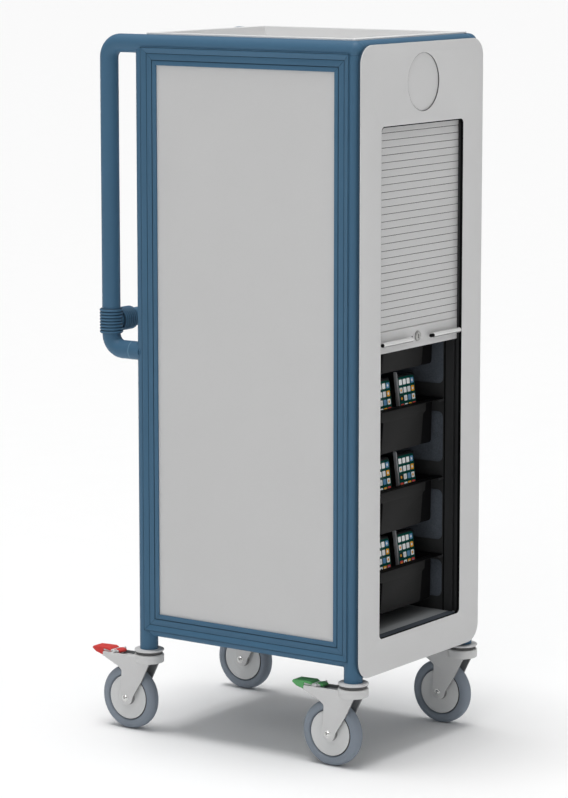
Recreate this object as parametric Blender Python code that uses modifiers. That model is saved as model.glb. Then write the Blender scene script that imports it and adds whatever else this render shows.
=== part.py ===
"""Phone storage trolley: tube frame, tambour front, phone trays, snap-frame sides and swivel castors.

Metres, +Z up, front towards -Y. Pieces are laid out from the middle of the four posts, on the floor,
and the whole trolley is then moved along Y so that the origin is under the middle of its bounding box.
"""
from math import atan2, cos, pi, radians, sin, sqrt, tan

import bmesh
import bpy
from mathutils import Matrix, Vector

# Gaps
WELD = 1e-6                 # points closer than this are one
CLEAR = 0.0003              # between pieces that touch
CURTAIN_PLAY = 0.0008       # curtain in its groove
TRAY_PLAY = 0.0022          # tray rim beside the opening's edge

# Tube frame
POST_X = 0.190              # post centre from the middle plane
POST_Y = 0.235              # post centre from the middle, front and rear
TUBE_R = 0.0175
TUBE_RES = 6                # bevel resolution: 16 sides
HOOP_Z = 1.316              # centre line of the top tubes
HOOP_BEND = 0.026           # centre-line bend radius of the hoops
RAIL_UP = 0.0411            # centre line of the bottom rails above the posts' feet
RAIL_R = 0.015
BEND_STEPS = 4

# Push handle
HANDLE_REACH = 0.085        # handle tube behind the rear post
HANDLE_BEND = 0.028
HANDLE_TALL = 0.579         # centre line of the lower return below the top tubes
PUSH_BAR_UP = 0.053         # push bar above the lower return
SLEEVE_WALL = 0.0028        # ribbed sleeve at the roots of its ribs
RIB_HEIGHT = 0.0022
RIB_PITCH = 0.0059
UPRIGHT_RIBS = 8
CROSS_RIBS = 7
SLEEVE_STEPS = 12

# Panels
FRONT_THICK = 0.0057
FRONT_DROP = 0.0331         # front panel's lower edge below the bottom rails
FRONT_RISE = 0.0097         # its upper edge above the top tubes' centre line
FRONT_CORNER = 0.035
STILE = 0.0686              # front panel beside the opening
HEADER = 0.1477             # front panel above the opening
SILL = 0.0005               # opening's lower edge above the base panel
OPENING_CORNER = 0.009
OPENING_STEPS = 3
ROUNDEL_R = 0.0535
ROUNDEL_DOWN = 0.0732       # its centre below the front panel's upper edge
ROUNDEL_DEPTH = 0.0014
CORNER_STEPS = 5
REAR_THICK = 0.003
BASE_THICK = 0.0156
BASE_INSET = 0.0025         # side edge of the base panel inside the rail's centre line
TOP_RISE = 0.0205           # top tray's rim above the top tubes' centre line
TOP_SUNK = 0.032            # its underside below the centre line
TOP_WALL = 0.002
TOP_CORNER = 0.006

# Graphic panels and their snap rails
POSTER_OUT = 0.012          # poster's face outside the posts' centre line
POSTER_THICK = 0.010
SNAP_INSET_Y = 0.0013       # outer edges inside the posts' centre lines
SNAP_INSET_TOP = 0.0046     # top edge below the top tubes' centre line
SNAP_DROP = 0.0025          # bottom edge below the bottom rails' centre line
SNAP_WIDTH = 0.034
SNAP_EDGE = 0.0015          # thickness at the hinged outer edge
SNAP_BAND = 0.004           # flat outer band
SNAP_SLOPE_END = 0.012
SNAP_STEP = 0.0038          # how far the face falls over the slope
SNAP_GROOVE_AT = 0.024
SNAP_GROOVE_WIDE = 0.0018
SNAP_GROOVE_DEEP = 0.0012
MITRE_SETBACK = 0.0007
SNAP_BACK_STEPS = 4

# Shutter
CURTAIN_FRONT_Y = 0.012     # curtain face behind the front panel's face
CURTAIN_THICK = 0.005
SLAT_PITCH = 0.013
SLAT_GROOVE = 0.0011
SLAT_LAND = 0.0016
GROOVE_DEEP = 0.007
DOOR_OPEN = 0.52750 / 0.9425  # share of the opening left free under the door, half open
DOOR_RAIL_TALL = 0.040
DOOR_RAIL_THICK = 0.009
GRIP_END = 0.0052           # outer end of a grip inside the opening's edge
GRIP_TALL = 0.007
GRIP_DEEP = 0.0130
GRIP_FROM_MIDDLE = 0.031    # inner end of a grip
GRIP_UP = 0.0145            # grip's underside above the rail's lower edge
GRIP_ROUND = 0.0024
LOCK_R = 0.0087
LOCK_UP = 0.0205            # lock centre above the rail's lower edge
LOCK_PROUD = 0.0028
KEY_WIDE = 0.0016
KEY_TALL = 0.009
KEY_DEEP = 0.004
CAM_LONG = 0.017
CAM_WIDE = 0.010
CAM_THICK = 0.003
LOCK_STEPS = 20
GRIP_STEPS = 3
ROLL_R = 0.0375             # curtain wound on its roller, door half open
ROLL_PIN_R = 0.006
ROLL_DOWN = 0.052           # roller's axis below the top tray
ROLL_STEPS = 24

# Runner panels
RUNNER_GAP = 0.0008         # panel face outside the opening's edge
RUNNER_THICK = 0.010
RUNNER_REAR_GAP = 0.0022    # in front of the rear posts
RIB_THICK = 0.004
RIB_GAP = 0.0035            # runner rib beside the tray's body

# Phone trays
TRAY_COUNT = 6
TRAY_FLOOR_UP = 0.032       # lowest tray above the base panel
TRAY_HEAD = 0.072           # free height from a rim to the tray above
TRAY_TOP_GAP = 0.131        # highest rim below the roller's axis
TRAY_FRONT_BACK = 0.014     # rim's front edge behind the front posts' centre line
TRAY_REAR_GAP = 0.055       # rim's rear edge in front of the rear posts' centre line
TRAY_WALL = 0.0025
TRAY_FRONT_SET = 0.013      # body behind the rim's front edge
TRAY_REAR_SET = 0.010
TRAY_SIDE_SET = 0.0212      # body under the rim inside the opening's edge
TRAY_SIDE_DRAFT = 0.006     # side walls lean in by this much
TRAY_DRAFT = 0.004          # front and rear walls lean in by this much
TRAY_CORNER = 0.006
TRAY_CORNER_STEPS = 3
TRAY_FACE_SET = 0.0005      # top of the raised front behind the rim's front edge
TRAY_FACE_LEAN = 0.006      # its foot behind its top
PHONES_ACROSS = 3
PHONE_SIDE_ROOM = 0.004     # between the outer phones' places and the side walls
PHONE_LEAN = radians(7)
SLOT_DEEP = 0.0165          # phone slot at the tray's floor
REST_THICK = 0.003
REST_ABOVE_RIM = 0.022
DIVIDER_THICK = 0.003
DIVIDER_LONG = 0.024
DIVIDER_ABOVE_RIM = 0.056

# Castors
WHEEL_R = 0.0625
WHEEL_STEPS = 24
TRAIL = 0.0446
TYRE_HALF = 0.012
TREAD_HALF = 0.0065
TYRE_SHOULDER = 0.0075
TYRE_THICK = 0.0179         # tyre from the hub's rim to the tread
HUB_HALF = 0.010
HUB_DISH = 0.003
BOSS_R = 0.012
AXLE_R = 0.005
AXLE_HEAD_R = 0.008
AXLE_HEAD = 0.0022
AXLE_STEPS = 16
FORK_GAP = 0.0145           # inner face of a fork leg from the wheel's middle
FORK_LEG = 0.004
FORK_END_R = 0.013
FORK_END_STEPS = 6
LEG_FRONT_Y = 0.0125        # front edge of a leg ahead of the swivel axis
LEG_TOE_Y = 0.0228          # toe of a leg ahead of the axle, and above it
LEG_TOE_Z = 0.0033
LEG_HEEL_Y = 0.0104         # heel behind the axle, and below the head
LEG_HEEL_Z = 0.0182
LEG_BACK_Y = 0.0169         # back corner behind the axle, and below the arm
LEG_BACK_Z = 0.0091
HEAD_R = 0.0285
HEAD_UP = 0.005             # fork head above the arm's lower edge
COLLAR_UP = 0.022           # collar above the arm's lower edge
COLLAR_TALL = 0.006
COLLAR_NECK_R = 0.025
COLLAR_NECK_TALL = 0.0037
ROUND_STEPS = 24
ARM_BRAKED = 0.099          # arm end behind the swivel axis
ARM_PLAIN = 0.076
ARM_OVER_WHEEL = 0.006      # arm's lower edge above the wheel
ARM_END_UP = 0.003          # the arm's end, its pedal seat and its top, above its lower edge
ARM_END_TALL = 0.005
ARM_SEAT_UP = 0.0152
ARM_TALL = 0.0195
PEDAL_HINGE_Y = 0.072
PEDAL_TIP_Y = 0.128
PEDAL_FRONT_Y = 0.061
PEDAL_HALF = 0.015
PEDAL_TOP_UP = 0.027        # pedal's top and tip above the arm's lower edge
PEDAL_TIP_UP = 0.0185
PEDAL_TIP_THICK = 0.0045
PEDAL_BOSS_R = 0.0035

# Derived places, upwards from the wheels and downwards from the top tubes
AXLE_Z = WHEEL_R * cos(pi / WHEEL_STEPS)
HUB_R = WHEEL_R - TYRE_THICK
ARM_LOW_Z = 2 * WHEEL_R + ARM_OVER_WHEEL
HEAD_LOW_Z = ARM_LOW_Z + HEAD_UP
COLLAR_LOW_Z = ARM_LOW_Z + COLLAR_UP
ARM_END_LOW_Z = ARM_LOW_Z + ARM_END_UP
ARM_END_TOP_Z = ARM_END_LOW_Z + ARM_END_TALL
ARM_SEAT_Z = ARM_LOW_Z + ARM_SEAT_UP
ARM_TOP_Z = ARM_LOW_Z + ARM_TALL
PEDAL_TOP_Z = ARM_LOW_Z + PEDAL_TOP_UP
PEDAL_TIP_Z = ARM_LOW_Z + PEDAL_TIP_UP
POST_FOOT_Z = COLLAR_LOW_Z + COLLAR_NECK_TALL + COLLAR_TALL + CLEAR
RAIL_Z = POST_FOOT_Z + RAIL_UP
BASE_TOP_Z = RAIL_Z + RAIL_R + CLEAR + BASE_THICK
FRONT_LOW_Z = RAIL_Z - FRONT_DROP
FRONT_TOP_Z = HOOP_Z + FRONT_RISE
OPENING_LOW_Z = BASE_TOP_Z + SILL
OPENING_TOP_Z = FRONT_TOP_Z - HEADER
ROUNDEL_Z = FRONT_TOP_Z - ROUNDEL_DOWN
TOP_RIM_Z = HOOP_Z + TOP_RISE
TOP_FLOOR_Z = HOOP_Z - TOP_SUNK
SNAP_LOW_Z = RAIL_Z - SNAP_DROP
SNAP_TOP_Z = HOOP_Z - SNAP_INSET_TOP
HANDLE_LOW_Z = HOOP_Z - HANDLE_TALL
PUSH_BAR_Z = HANDLE_LOW_Z + PUSH_BAR_UP
SLEEVE_R = TUBE_R + SLEEVE_WALL
DOOR_LOW_Z = OPENING_LOW_Z + DOOR_OPEN * (OPENING_TOP_Z - OPENING_LOW_Z)
ROLL_Z = TOP_FLOOR_Z - ROLL_DOWN
TRAY_SPACE = ROLL_Z - TRAY_TOP_GAP + TRAY_HEAD - TRAY_FLOOR_UP - BASE_TOP_Z
TRAY_PITCH = TRAY_SPACE / TRAY_COUNT
TRAY_DEEP = TRAY_PITCH - TRAY_HEAD
TRAY_FIRST_RIM_Z = BASE_TOP_Z + TRAY_FLOOR_UP + TRAY_DEEP

# Derived places, across and along
FRONT_HALF = POST_X + TUBE_R + CLEAR
OPENING_HALF = FRONT_HALF - STILE
POSTER_FACE_X = POST_X + POSTER_OUT
SNAP_HALF_Y = POST_Y - SNAP_INSET_Y
TRAY_FRONT_Y = -POST_Y + TRAY_FRONT_BACK
TRAY_REAR_Y = POST_Y - TRAY_REAR_GAP
TRAY_HALF_TOP = OPENING_HALF - TRAY_SIDE_SET
TRAY_HALF_LOW = TRAY_HALF_TOP - TRAY_SIDE_DRAFT
PHONE_PITCH = 2 * (TRAY_HALF_LOW - PHONE_SIDE_ROOM) / PHONES_ACROSS
RIB_INNER_X = TRAY_HALF_TOP + RIB_GAP
GRIP_LONG = OPENING_HALF - GRIP_FROM_MIDDLE - GRIP_END
FRONT_BACK_Y = -POST_Y - TUBE_R - CLEAR
FRONT_FACE_Y = FRONT_BACK_Y - FRONT_THICK
INNER_X = POST_X - TUBE_R - CLEAR
INNER_Y = POST_Y - TUBE_R - CLEAR
RUNNER_REAR_Y = INNER_Y - RUNNER_REAR_GAP
HANDLE_Y = POST_Y + HANDLE_REACH
RUNNER_X = OPENING_HALF + RUNNER_GAP
CURTAIN_Y = FRONT_FACE_Y + CURTAIN_FRONT_Y + CURTAIN_THICK / 2
CURTAIN_HALF = RUNNER_X + GROOVE_DEEP - CURTAIN_PLAY
GRIP_FRONT_Y = CURTAIN_Y - DOOR_RAIL_THICK / 2 - CLEAR - GRIP_DEEP
ROLL_Y = CURTAIN_Y + CURTAIN_THICK / 2 + CLEAR + ROLL_R
SNAP_HINGE_X = POST_X + TUBE_R + CLEAR
FRONT_REACH = min(GRIP_FRONT_Y, -POST_Y - HEAD_R)
REAR_REACH = POST_Y + PEDAL_TIP_Y
Y_SHIFT = -(FRONT_REACH + REAR_REACH) / 2
CASTORS = {
    "front_left": (-POST_X, -POST_Y, "green"),
    "front_right": (POST_X, -POST_Y, None),
    "rear_left": (-POST_X, POST_Y, "red"),
    "rear_right": (POST_X, POST_Y, None),
}


def clear_scene():
    for item in list(bpy.data.objects):
        bpy.data.objects.remove(item)


def material(name, colour, roughness, metallic=0.0):
    made = bpy.data.materials.new(name)
    made.use_nodes = True
    shader = made.node_tree.nodes["Principled BSDF"]
    shader.inputs["Base Color"].default_value = (*colour, 1)
    shader.inputs["Roughness"].default_value = roughness
    shader.inputs["Metallic"].default_value = metallic
    return made


# Outlines

def arc(centre, radius, start, end, steps):
    """Points on an arc, angles in degrees."""
    points = []
    for step in range(steps + 1):
        angle = radians(start + (end - start) * step / steps)
        points.append((centre[0] + radius * cos(angle), centre[1] + radius * sin(angle)))
    return points


def circle(centre, radius, steps):
    return arc(centre, radius, 0, 360 * (steps - 1) / steps, steps - 1)


def rounded_box(low, high, radius, steps):
    """Rectangle with round corners, counter-clockwise."""
    points = arc((high[0] - radius, low[1] + radius), radius, -90, 0, steps)
    points += arc((high[0] - radius, high[1] - radius), radius, 0, 90, steps)
    points += arc((low[0] + radius, high[1] - radius), radius, 90, 180, steps)
    points += arc((low[0] + radius, low[1] + radius), radius, 180, 270, steps)
    return points


def bent_path(corners, radius, steps):
    """Polyline through the corners, each inner corner rounded with an arc of the given radius."""
    path = [Vector(corners[0])]
    for before, corner, after in zip(corners, corners[1:], corners[2:]):
        corner = Vector(corner)
        into = (corner - Vector(before)).normalized()
        out = (Vector(after) - corner).normalized()
        half_turn = into.angle(out) / 2
        cut = radius * tan(half_turn)
        side = (out - into * into.dot(out)).normalized()
        centre = corner - into * cut + side * radius
        for step in range(steps + 1):
            angle = 2 * half_turn * step / steps
            path.append(centre - side * radius * cos(angle) + into * radius * sin(angle))
    path.append(Vector(corners[-1]))
    return path


# Solids

def plane_xz(y):
    """Outline axes on X and Z, extruded along -Y, centred on y."""
    return Matrix(((1, 0, 0, 0), (0, 0, -1, y), (0, 1, 0, 0), (0, 0, 0, 1)))


def plane_yz(x):
    """Outline axes on Y and Z, extruded along X, centred on x."""
    return Matrix(((0, 0, 1, x), (1, 0, 0, 0), (0, 1, 0, 0), (0, 0, 0, 1)))


def plane_xy(z):
    return Matrix.Translation((0, 0, z))


def along_x(place):
    """Turning axis along X through a point."""
    return Matrix.Translation(place) @ Matrix(((0, 0, 1, 0), (1, 0, 0, 0), (0, 1, 0, 0), (0, 0, 0, 1)))


def along_y(place):
    """Turning axis along Y through a point."""
    return Matrix.Translation(place) @ Matrix(((0, 1, 0, 0), (0, 0, 1, 0), (1, 0, 0, 0), (0, 0, 0, 1)))


def along_z(place):
    return Matrix.Translation(place)


def evaluated(scratch):
    """Mesh of an object with its modifiers, welded, in flat faces that point out; the object is removed."""
    bpy.context.view_layer.update()
    graph = bpy.context.evaluated_depsgraph_get()
    mesh = bpy.data.meshes.new_from_object(scratch.evaluated_get(graph))
    bpy.data.objects.remove(scratch)
    work = bmesh.new()
    work.from_mesh(mesh)
    bmesh.ops.remove_doubles(work, verts=work.verts, dist=WELD)
    bmesh.ops.triangulate(work, faces=work.faces)
    bmesh.ops.recalc_face_normals(work, faces=work.faces)
    work.to_mesh(mesh)
    work.free()
    return mesh


def scratch_object(data):
    made = bpy.data.objects.new("scratch", data)
    bpy.context.scene.collection.objects.link(made)
    return made


def moved(mesh, placement):
    mesh.transform(placement)
    if placement.determinant() < 0:
        mesh.flip_normals()
    return mesh


def box(low, high):
    work = bmesh.new()
    size = Vector(high) - Vector(low)
    middle = (Vector(high) + Vector(low)) / 2
    bmesh.ops.create_cube(work, size=1, matrix=Matrix.Translation(middle) @ Matrix.Diagonal((*size, 1)))
    mesh = bpy.data.meshes.new("box")
    work.to_mesh(mesh)
    work.free()
    return mesh


def extrusion(loops, depth, placement):
    """Flat outline, with any holes as further loops, extruded evenly to both sides of its plane."""
    curve = bpy.data.curves.new("outline", "CURVE")
    curve.dimensions = "2D"
    curve.fill_mode = "BOTH"
    curve.extrude = depth / 2
    for loop in loops:
        spline = curve.splines.new("POLY")
        spline.points.add(len(loop) - 1)
        for point, (across, up) in zip(spline.points, loop):
            point.co = (across, up, 0, 1)
        spline.use_cyclic_u = True
    return moved(evaluated(scratch_object(curve)), placement)


def tube(path, radius, resolution=TUBE_RES):
    curve = bpy.data.curves.new("tube", "CURVE")
    curve.dimensions = "3D"
    curve.bevel_depth = radius
    curve.bevel_resolution = resolution
    curve.use_fill_caps = True
    spline = curve.splines.new("POLY")
    spline.points.add(len(path) - 1)
    for point, place in zip(spline.points, path):
        point.co = (*place, 1)
    return evaluated(scratch_object(curve))


def turned(profile, steps, placement, closed=False, half_step=False):
    """Profile of (radius, height) points turned about Z, then placed."""
    mesh = bpy.data.meshes.new("turned")
    edges = [(index, index + 1) for index in range(len(profile) - 1)]
    if closed:
        edges.append((len(profile) - 1, 0))
    mesh.from_pydata([(radius, 0, height) for radius, height in profile], edges, [])
    piece = scratch_object(mesh)
    screw = piece.modifiers.new("turn", "SCREW")
    screw.steps = steps
    screw.render_steps = steps
    screw.use_merge_vertices = True
    screw.merge_threshold = WELD
    shape = evaluated(piece)
    if half_step:
        placement = placement @ Matrix.Rotation(pi / steps, 4, "Z")
    return moved(shape, placement)


def cylinder(radius, low, high, steps, placement):
    return turned([(0, high), (radius, high), (radius, low), (0, low)], steps, placement)


def combined(base, others, operation):
    """Boolean of meshes, worked out one after the other."""
    piece = scratch_object(base)
    tools = [scratch_object(other) for other in others]
    for tool in tools:
        change = piece.modifiers.new("shape", "BOOLEAN")
        change.operation = operation
        change.object = tool
    mesh = evaluated(piece)
    for tool in tools:
        bpy.data.objects.remove(tool)
    return mesh


def joined(base, others):
    return combined(base, others, "UNION")


def cut(base, others):
    return combined(base, others, "DIFFERENCE")


def mirrored(mesh):
    """Copy on the other side of the middle plane."""
    return moved(mesh.copy(), Matrix.Diagonal((-1, 1, 1, 1)))


def add_piece(name, mesh, look, origin=(0, 0, 0), smooth=35):
    """Named object under the trolley, with its origin where it turns or slides from."""
    mesh.transform(Matrix.Translation(-Vector(origin)))
    mesh.name = name
    mesh.shade_smooth()
    mesh.set_sharp_from_angle(angle=radians(smooth))
    mesh.materials.clear()
    mesh.materials.append(look)
    piece = bpy.data.objects.new(name, mesh)
    PARTS.objects.link(piece)
    piece.parent = TROLLEY
    piece.location = origin
    return piece


# Frame

def hoop(y, radius):
    left = [(-POST_X, y, POST_FOOT_Z), (-POST_X, y, HOOP_Z)]
    right = [(POST_X, y, HOOP_Z), (POST_X, y, POST_FOOT_Z)]
    return tube(bent_path(left + right, HOOP_BEND, BEND_STEPS), radius)


def post_cutter(y):
    """Length of the right-hand post about the bottom rails, a clearance larger."""
    reach = 3 * RAIL_R
    return tube([(POST_X, y, RAIL_Z - reach), (POST_X, y, RAIL_Z + reach)], TUBE_R + CLEAR)


def handle_path():
    """Right-hand top rail, run on into the handle and back to the rear post."""
    saddle = TUBE_R / 2
    corners = [
        (POST_X, -POST_Y + saddle, HOOP_Z),
        (POST_X, HANDLE_Y, HOOP_Z),
        (POST_X, HANDLE_Y, HANDLE_LOW_Z),
        (POST_X, POST_Y + saddle, HANDLE_LOW_Z),
    ]
    return bent_path(corners, HANDLE_BEND, BEND_STEPS)


def add_frame():
    saddle = TUBE_R / 2
    front_cutter = hoop(-POST_Y, TUBE_R + CLEAR)
    rear_cutter = hoop(POST_Y, TUBE_R + CLEAR)
    rail_run = [(POST_X, 0, HOOP_Z), (POST_X, HANDLE_Y, HOOP_Z)]
    rail_cutter = tube(rail_run, TUBE_R + CLEAR)
    rear = cut(hoop(POST_Y, TUBE_R), [rail_cutter, mirrored(rail_cutter)])
    add_piece("front_hoop", hoop(-POST_Y, TUBE_R), PAINT)
    add_piece("rear_hoop", rear, PAINT)

    handle = cut(tube(handle_path(), TUBE_R), [front_cutter, rear_cutter])
    add_piece("handle_rail_left", mirrored(handle), PAINT)
    add_piece("handle_rail_right", handle, PAINT)

    side_run = [(POST_X, -POST_Y + saddle, RAIL_Z), (POST_X, POST_Y - saddle, RAIL_Z)]
    side_rail = cut(tube(side_run, RAIL_R), [post_cutter(-POST_Y), post_cutter(POST_Y)])
    add_piece("bottom_rail_left", mirrored(side_rail), PAINT)
    add_piece("bottom_rail_right", side_rail, PAINT)
    rear_run = [(-POST_X + saddle, POST_Y, RAIL_Z), (POST_X - saddle, POST_Y, RAIL_Z)]
    side_cutter = tube([(POST_X, 0, RAIL_Z), (POST_X, POST_Y + 2 * RAIL_R, RAIL_Z)], RAIL_R + CLEAR)
    rear_post = post_cutter(POST_Y)
    cutters = [side_cutter, mirrored(side_cutter), rear_post, mirrored(rear_post)]
    add_piece("bottom_rail_rear", cut(tube(rear_run, RAIL_R), cutters), PAINT)


def ribbed_sleeve(ribs, low, placement):
    """Closed ribbed cylinder, its ribs starting at a height along its axis."""
    high = low + ribs * RIB_PITCH
    profile = [(0, high)]
    for rib in range(ribs):
        top = high - rib * RIB_PITCH
        profile.append((SLEEVE_R, top))
        profile.append((SLEEVE_R + RIB_HEIGHT, top - RIB_PITCH / 2))
    profile += [(SLEEVE_R, low), (0, low)]
    return turned(profile, SLEEVE_STEPS, placement)


def add_push_bar():
    bar_half = POST_X - TUBE_R - 2 * CLEAR
    bar_run = [(-bar_half, HANDLE_Y, PUSH_BAR_Z), (bar_half, HANDLE_Y, PUSH_BAR_Z)]
    add_piece("push_bar", tube(bar_run, TUBE_R), PAINT)

    upright_low = -UPRIGHT_RIBS * RIB_PITCH / 2
    upright = ribbed_sleeve(UPRIGHT_RIBS, upright_low, along_z((POST_X, HANDLE_Y, PUSH_BAR_Z)))
    cross_long = CROSS_RIBS * RIB_PITCH
    cross_start = -TUBE_R - cross_long
    cross = ribbed_sleeve(CROSS_RIBS, cross_start, along_x((POST_X, HANDLE_Y, PUSH_BAR_Z)))
    bore = TUBE_R + CLEAR
    tube_bore = cylinder(bore, -POST_X, POST_X, 2 * SLEEVE_STEPS, along_z((POST_X, HANDLE_Y, PUSH_BAR_Z)))
    bar_bore = cylinder(bore, -POST_X, 0, 2 * SLEEVE_STEPS, along_x((POST_X, HANDLE_Y, PUSH_BAR_Z)))
    clamp = cut(joined(upright, [cross]), [tube_bore, bar_bore])
    add_piece("push_bar_clamp_left", mirrored(clamp), PAINT)
    add_piece("push_bar_clamp_right", clamp, PAINT)


# Panels

def add_front_panel():
    outline = rounded_box((-FRONT_HALF, FRONT_LOW_Z), (FRONT_HALF, FRONT_TOP_Z), FRONT_CORNER, CORNER_STEPS)
    low = (-OPENING_HALF, OPENING_LOW_Z)
    high = (OPENING_HALF, OPENING_TOP_Z)
    window = rounded_box(low, high, OPENING_CORNER, OPENING_STEPS)
    panel = extrusion([outline, window], FRONT_THICK, plane_xz(FRONT_BACK_Y - FRONT_THICK / 2))
    recess_place = along_y((0, FRONT_FACE_Y, ROUNDEL_Z))
    recess = cylinder(ROUNDEL_R, -FRONT_THICK, ROUNDEL_DEPTH, 2 * ROUND_STEPS, recess_place)
    add_piece("front_panel", cut(panel, [recess]), PANEL_GREY)


def add_rear_panel():
    low = BASE_TOP_Z + CLEAR
    high = HOOP_Z - TUBE_R - CLEAR
    radius = HOOP_BEND - TUBE_R - CLEAR
    half = INNER_X
    outline = [(-half, low), (half, low)]
    outline += arc((half - radius, high - radius), radius, 0, 90, OPENING_STEPS)
    outline += arc((-half + radius, high - radius), radius, 90, 180, OPENING_STEPS)
    add_piece("rear_panel", extrusion([outline], REAR_THICK, plane_xz(POST_Y)), PANEL_GREY)


def add_base_panel():
    wide = POST_X - BASE_INSET
    long = -FRONT_BACK_Y - CLEAR
    outline = [
        (-INNER_X, -long), (INNER_X, -long), (INNER_X, -INNER_Y), (wide, -INNER_Y),
        (wide, INNER_Y), (INNER_X, INNER_Y), (INNER_X, long), (-INNER_X, long),
        (-INNER_X, INNER_Y), (-wide, INNER_Y), (-wide, -INNER_Y), (-INNER_X, -INNER_Y),
    ]
    low = RAIL_Z + RAIL_R + CLEAR
    thick = BASE_TOP_Z - low
    add_piece("base_panel", extrusion([outline], thick, plane_xy(low + thick / 2)), BLACK)


def shell(rings, wall, tops=()):
    """Open bowl through rings of points, from its floor up, thickened inwards, with pieces joined to it."""
    work = bmesh.new()
    loops = []
    for points, height in rings:
        loops.append([work.verts.new((across, along, height)) for across, along in points])
    work.faces.new(list(reversed(loops[0])))
    for lower, upper in zip(loops, loops[1:]):
        for index in range(len(lower)):
            after = (index + 1) % len(lower)
            work.faces.new((lower[index], lower[after], upper[after], upper[index]))
    mesh = bpy.data.meshes.new("bowl")
    work.to_mesh(mesh)
    work.free()
    piece = scratch_object(mesh)
    solid = piece.modifiers.new("wall", "SOLIDIFY")
    solid.thickness = wall
    solid.offset = -1
    solid.use_even_offset = True
    closed = evaluated(piece)
    return joined(closed, tops) if tops else closed


def add_top_tray():
    ring = rounded_box((-INNER_X, -INNER_Y), (INNER_X, INNER_Y), TOP_CORNER, OPENING_STEPS)
    add_piece("top_tray", shell([(ring, TOP_FLOOR_Z), (ring, TOP_RIM_Z)], TOP_WALL), PANEL_GREY)


# Graphic panels and snap rails

def snap_profile():
    """Section of a snap rail: inward from its hinge, and outward from the hinge line."""
    face = SNAP_EDGE
    fall = SNAP_EDGE - SNAP_STEP
    under = POSTER_FACE_X + CLEAR - SNAP_HINGE_X
    groove_end = SNAP_GROOVE_AT + SNAP_GROOVE_WIDE
    points = [
        (0, 0), (SNAP_WIDTH, fall), (groove_end, fall), (groove_end, fall - SNAP_GROOVE_DEEP),
        (SNAP_GROOVE_AT, fall - SNAP_GROOVE_DEEP), (SNAP_GROOVE_AT, fall),
        (SNAP_SLOPE_END, fall), (SNAP_BAND, face), (0, face),
    ]
    # The back follows the post, a clearance away, down to the poster's face
    reach = TUBE_R + 2 * CLEAR
    offset = POST_Y - SNAP_HALF_Y
    rise = POSTER_FACE_X + CLEAR - POST_X
    last = atan2(rise, sqrt(reach ** 2 - rise ** 2))
    first = pi / 2 - (offset / reach)
    back = []
    for step in range(SNAP_BACK_STEPS + 1):
        angle = first + (last - first) * step / SNAP_BACK_STEPS
        back.append((reach * cos(angle) - offset, POST_X + reach * sin(angle) - SNAP_HINGE_X))
    back = [(across, up) for across, up in back if across > CLEAR]
    return [points[0]] + back + [(SNAP_WIDTH, under)] + points[1:]


def snap_rail(length, inward, place):
    """Right-hand snap rail, mitred at both ends. The mesh is laid about its hinge line."""
    mesh = extrusion([snap_profile()], length, Matrix.Identity(4))
    for vertex in mesh.vertices:
        along = 1 if vertex.co.z > 0 else -1
        vertex.co.z -= along * (vertex.co.x + MITRE_SETBACK)
    outward = Vector((1, 0, 0))
    run = inward.cross(outward)
    placement = Matrix.Translation(place) @ Matrix((inward, outward, run)).transposed().to_4x4()
    return moved(mesh, placement)


def add_sides():
    low = RAIL_Z + RAIL_R + CLEAR
    high = HOOP_Z - TUBE_R - CLEAR
    poster = box((POSTER_FACE_X - POSTER_THICK, -INNER_Y, low), (POSTER_FACE_X, INNER_Y, high))
    add_piece("poster_panel_left", mirrored(poster), PANEL_GREY)
    add_piece("poster_panel_right", poster, PANEL_GREY)
    middle_z = (SNAP_LOW_Z + SNAP_TOP_Z) / 2
    tall = SNAP_TOP_Z - SNAP_LOW_Z
    wide = 2 * SNAP_HALF_Y
    rails = {
        "front": (tall, (0, 1, 0), (SNAP_HINGE_X, -SNAP_HALF_Y, middle_z)),
        "rear": (tall, (0, -1, 0), (SNAP_HINGE_X, SNAP_HALF_Y, middle_z)),
        "top": (wide, (0, 0, -1), (SNAP_HINGE_X, 0, SNAP_TOP_Z)),
        "bottom": (wide, (0, 0, 1), (SNAP_HINGE_X, 0, SNAP_LOW_Z)),
    }
    for name, (length, inward, place) in rails.items():
        rail = snap_rail(length, Vector(inward), Vector(place))
        left_place = (-place[0], place[1], place[2])
        add_piece("snap_rail_left_" + name, mirrored(rail), PAINT, left_place)
        add_piece("snap_rail_right_" + name, rail, PAINT, place)


# Shutter

def add_curtain():
    """Slatted sheet from the door rail up to the roll, its section turned along X."""
    low = DOOR_LOW_Z + DOOR_RAIL_TALL + CLEAR
    high = ROLL_Z
    front = CURTAIN_Y - CURTAIN_THICK / 2
    back = CURTAIN_Y + CURTAIN_THICK / 2
    section = [(back, high), (back, low)]
    slats = int((high - low) / SLAT_PITCH)
    pitch = (high - low) / slats
    for slat in range(slats):
        start = low + slat * pitch
        section.append((front + SLAT_GROOVE, start))
        section.append((front, start + SLAT_LAND))
        section.append((front, start + pitch - SLAT_LAND))
    section.append((front + SLAT_GROOVE, high))
    add_piece("tambour_curtain", extrusion([section], 2 * CURTAIN_HALF, plane_yz(0)), SLAT_GREY)


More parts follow.
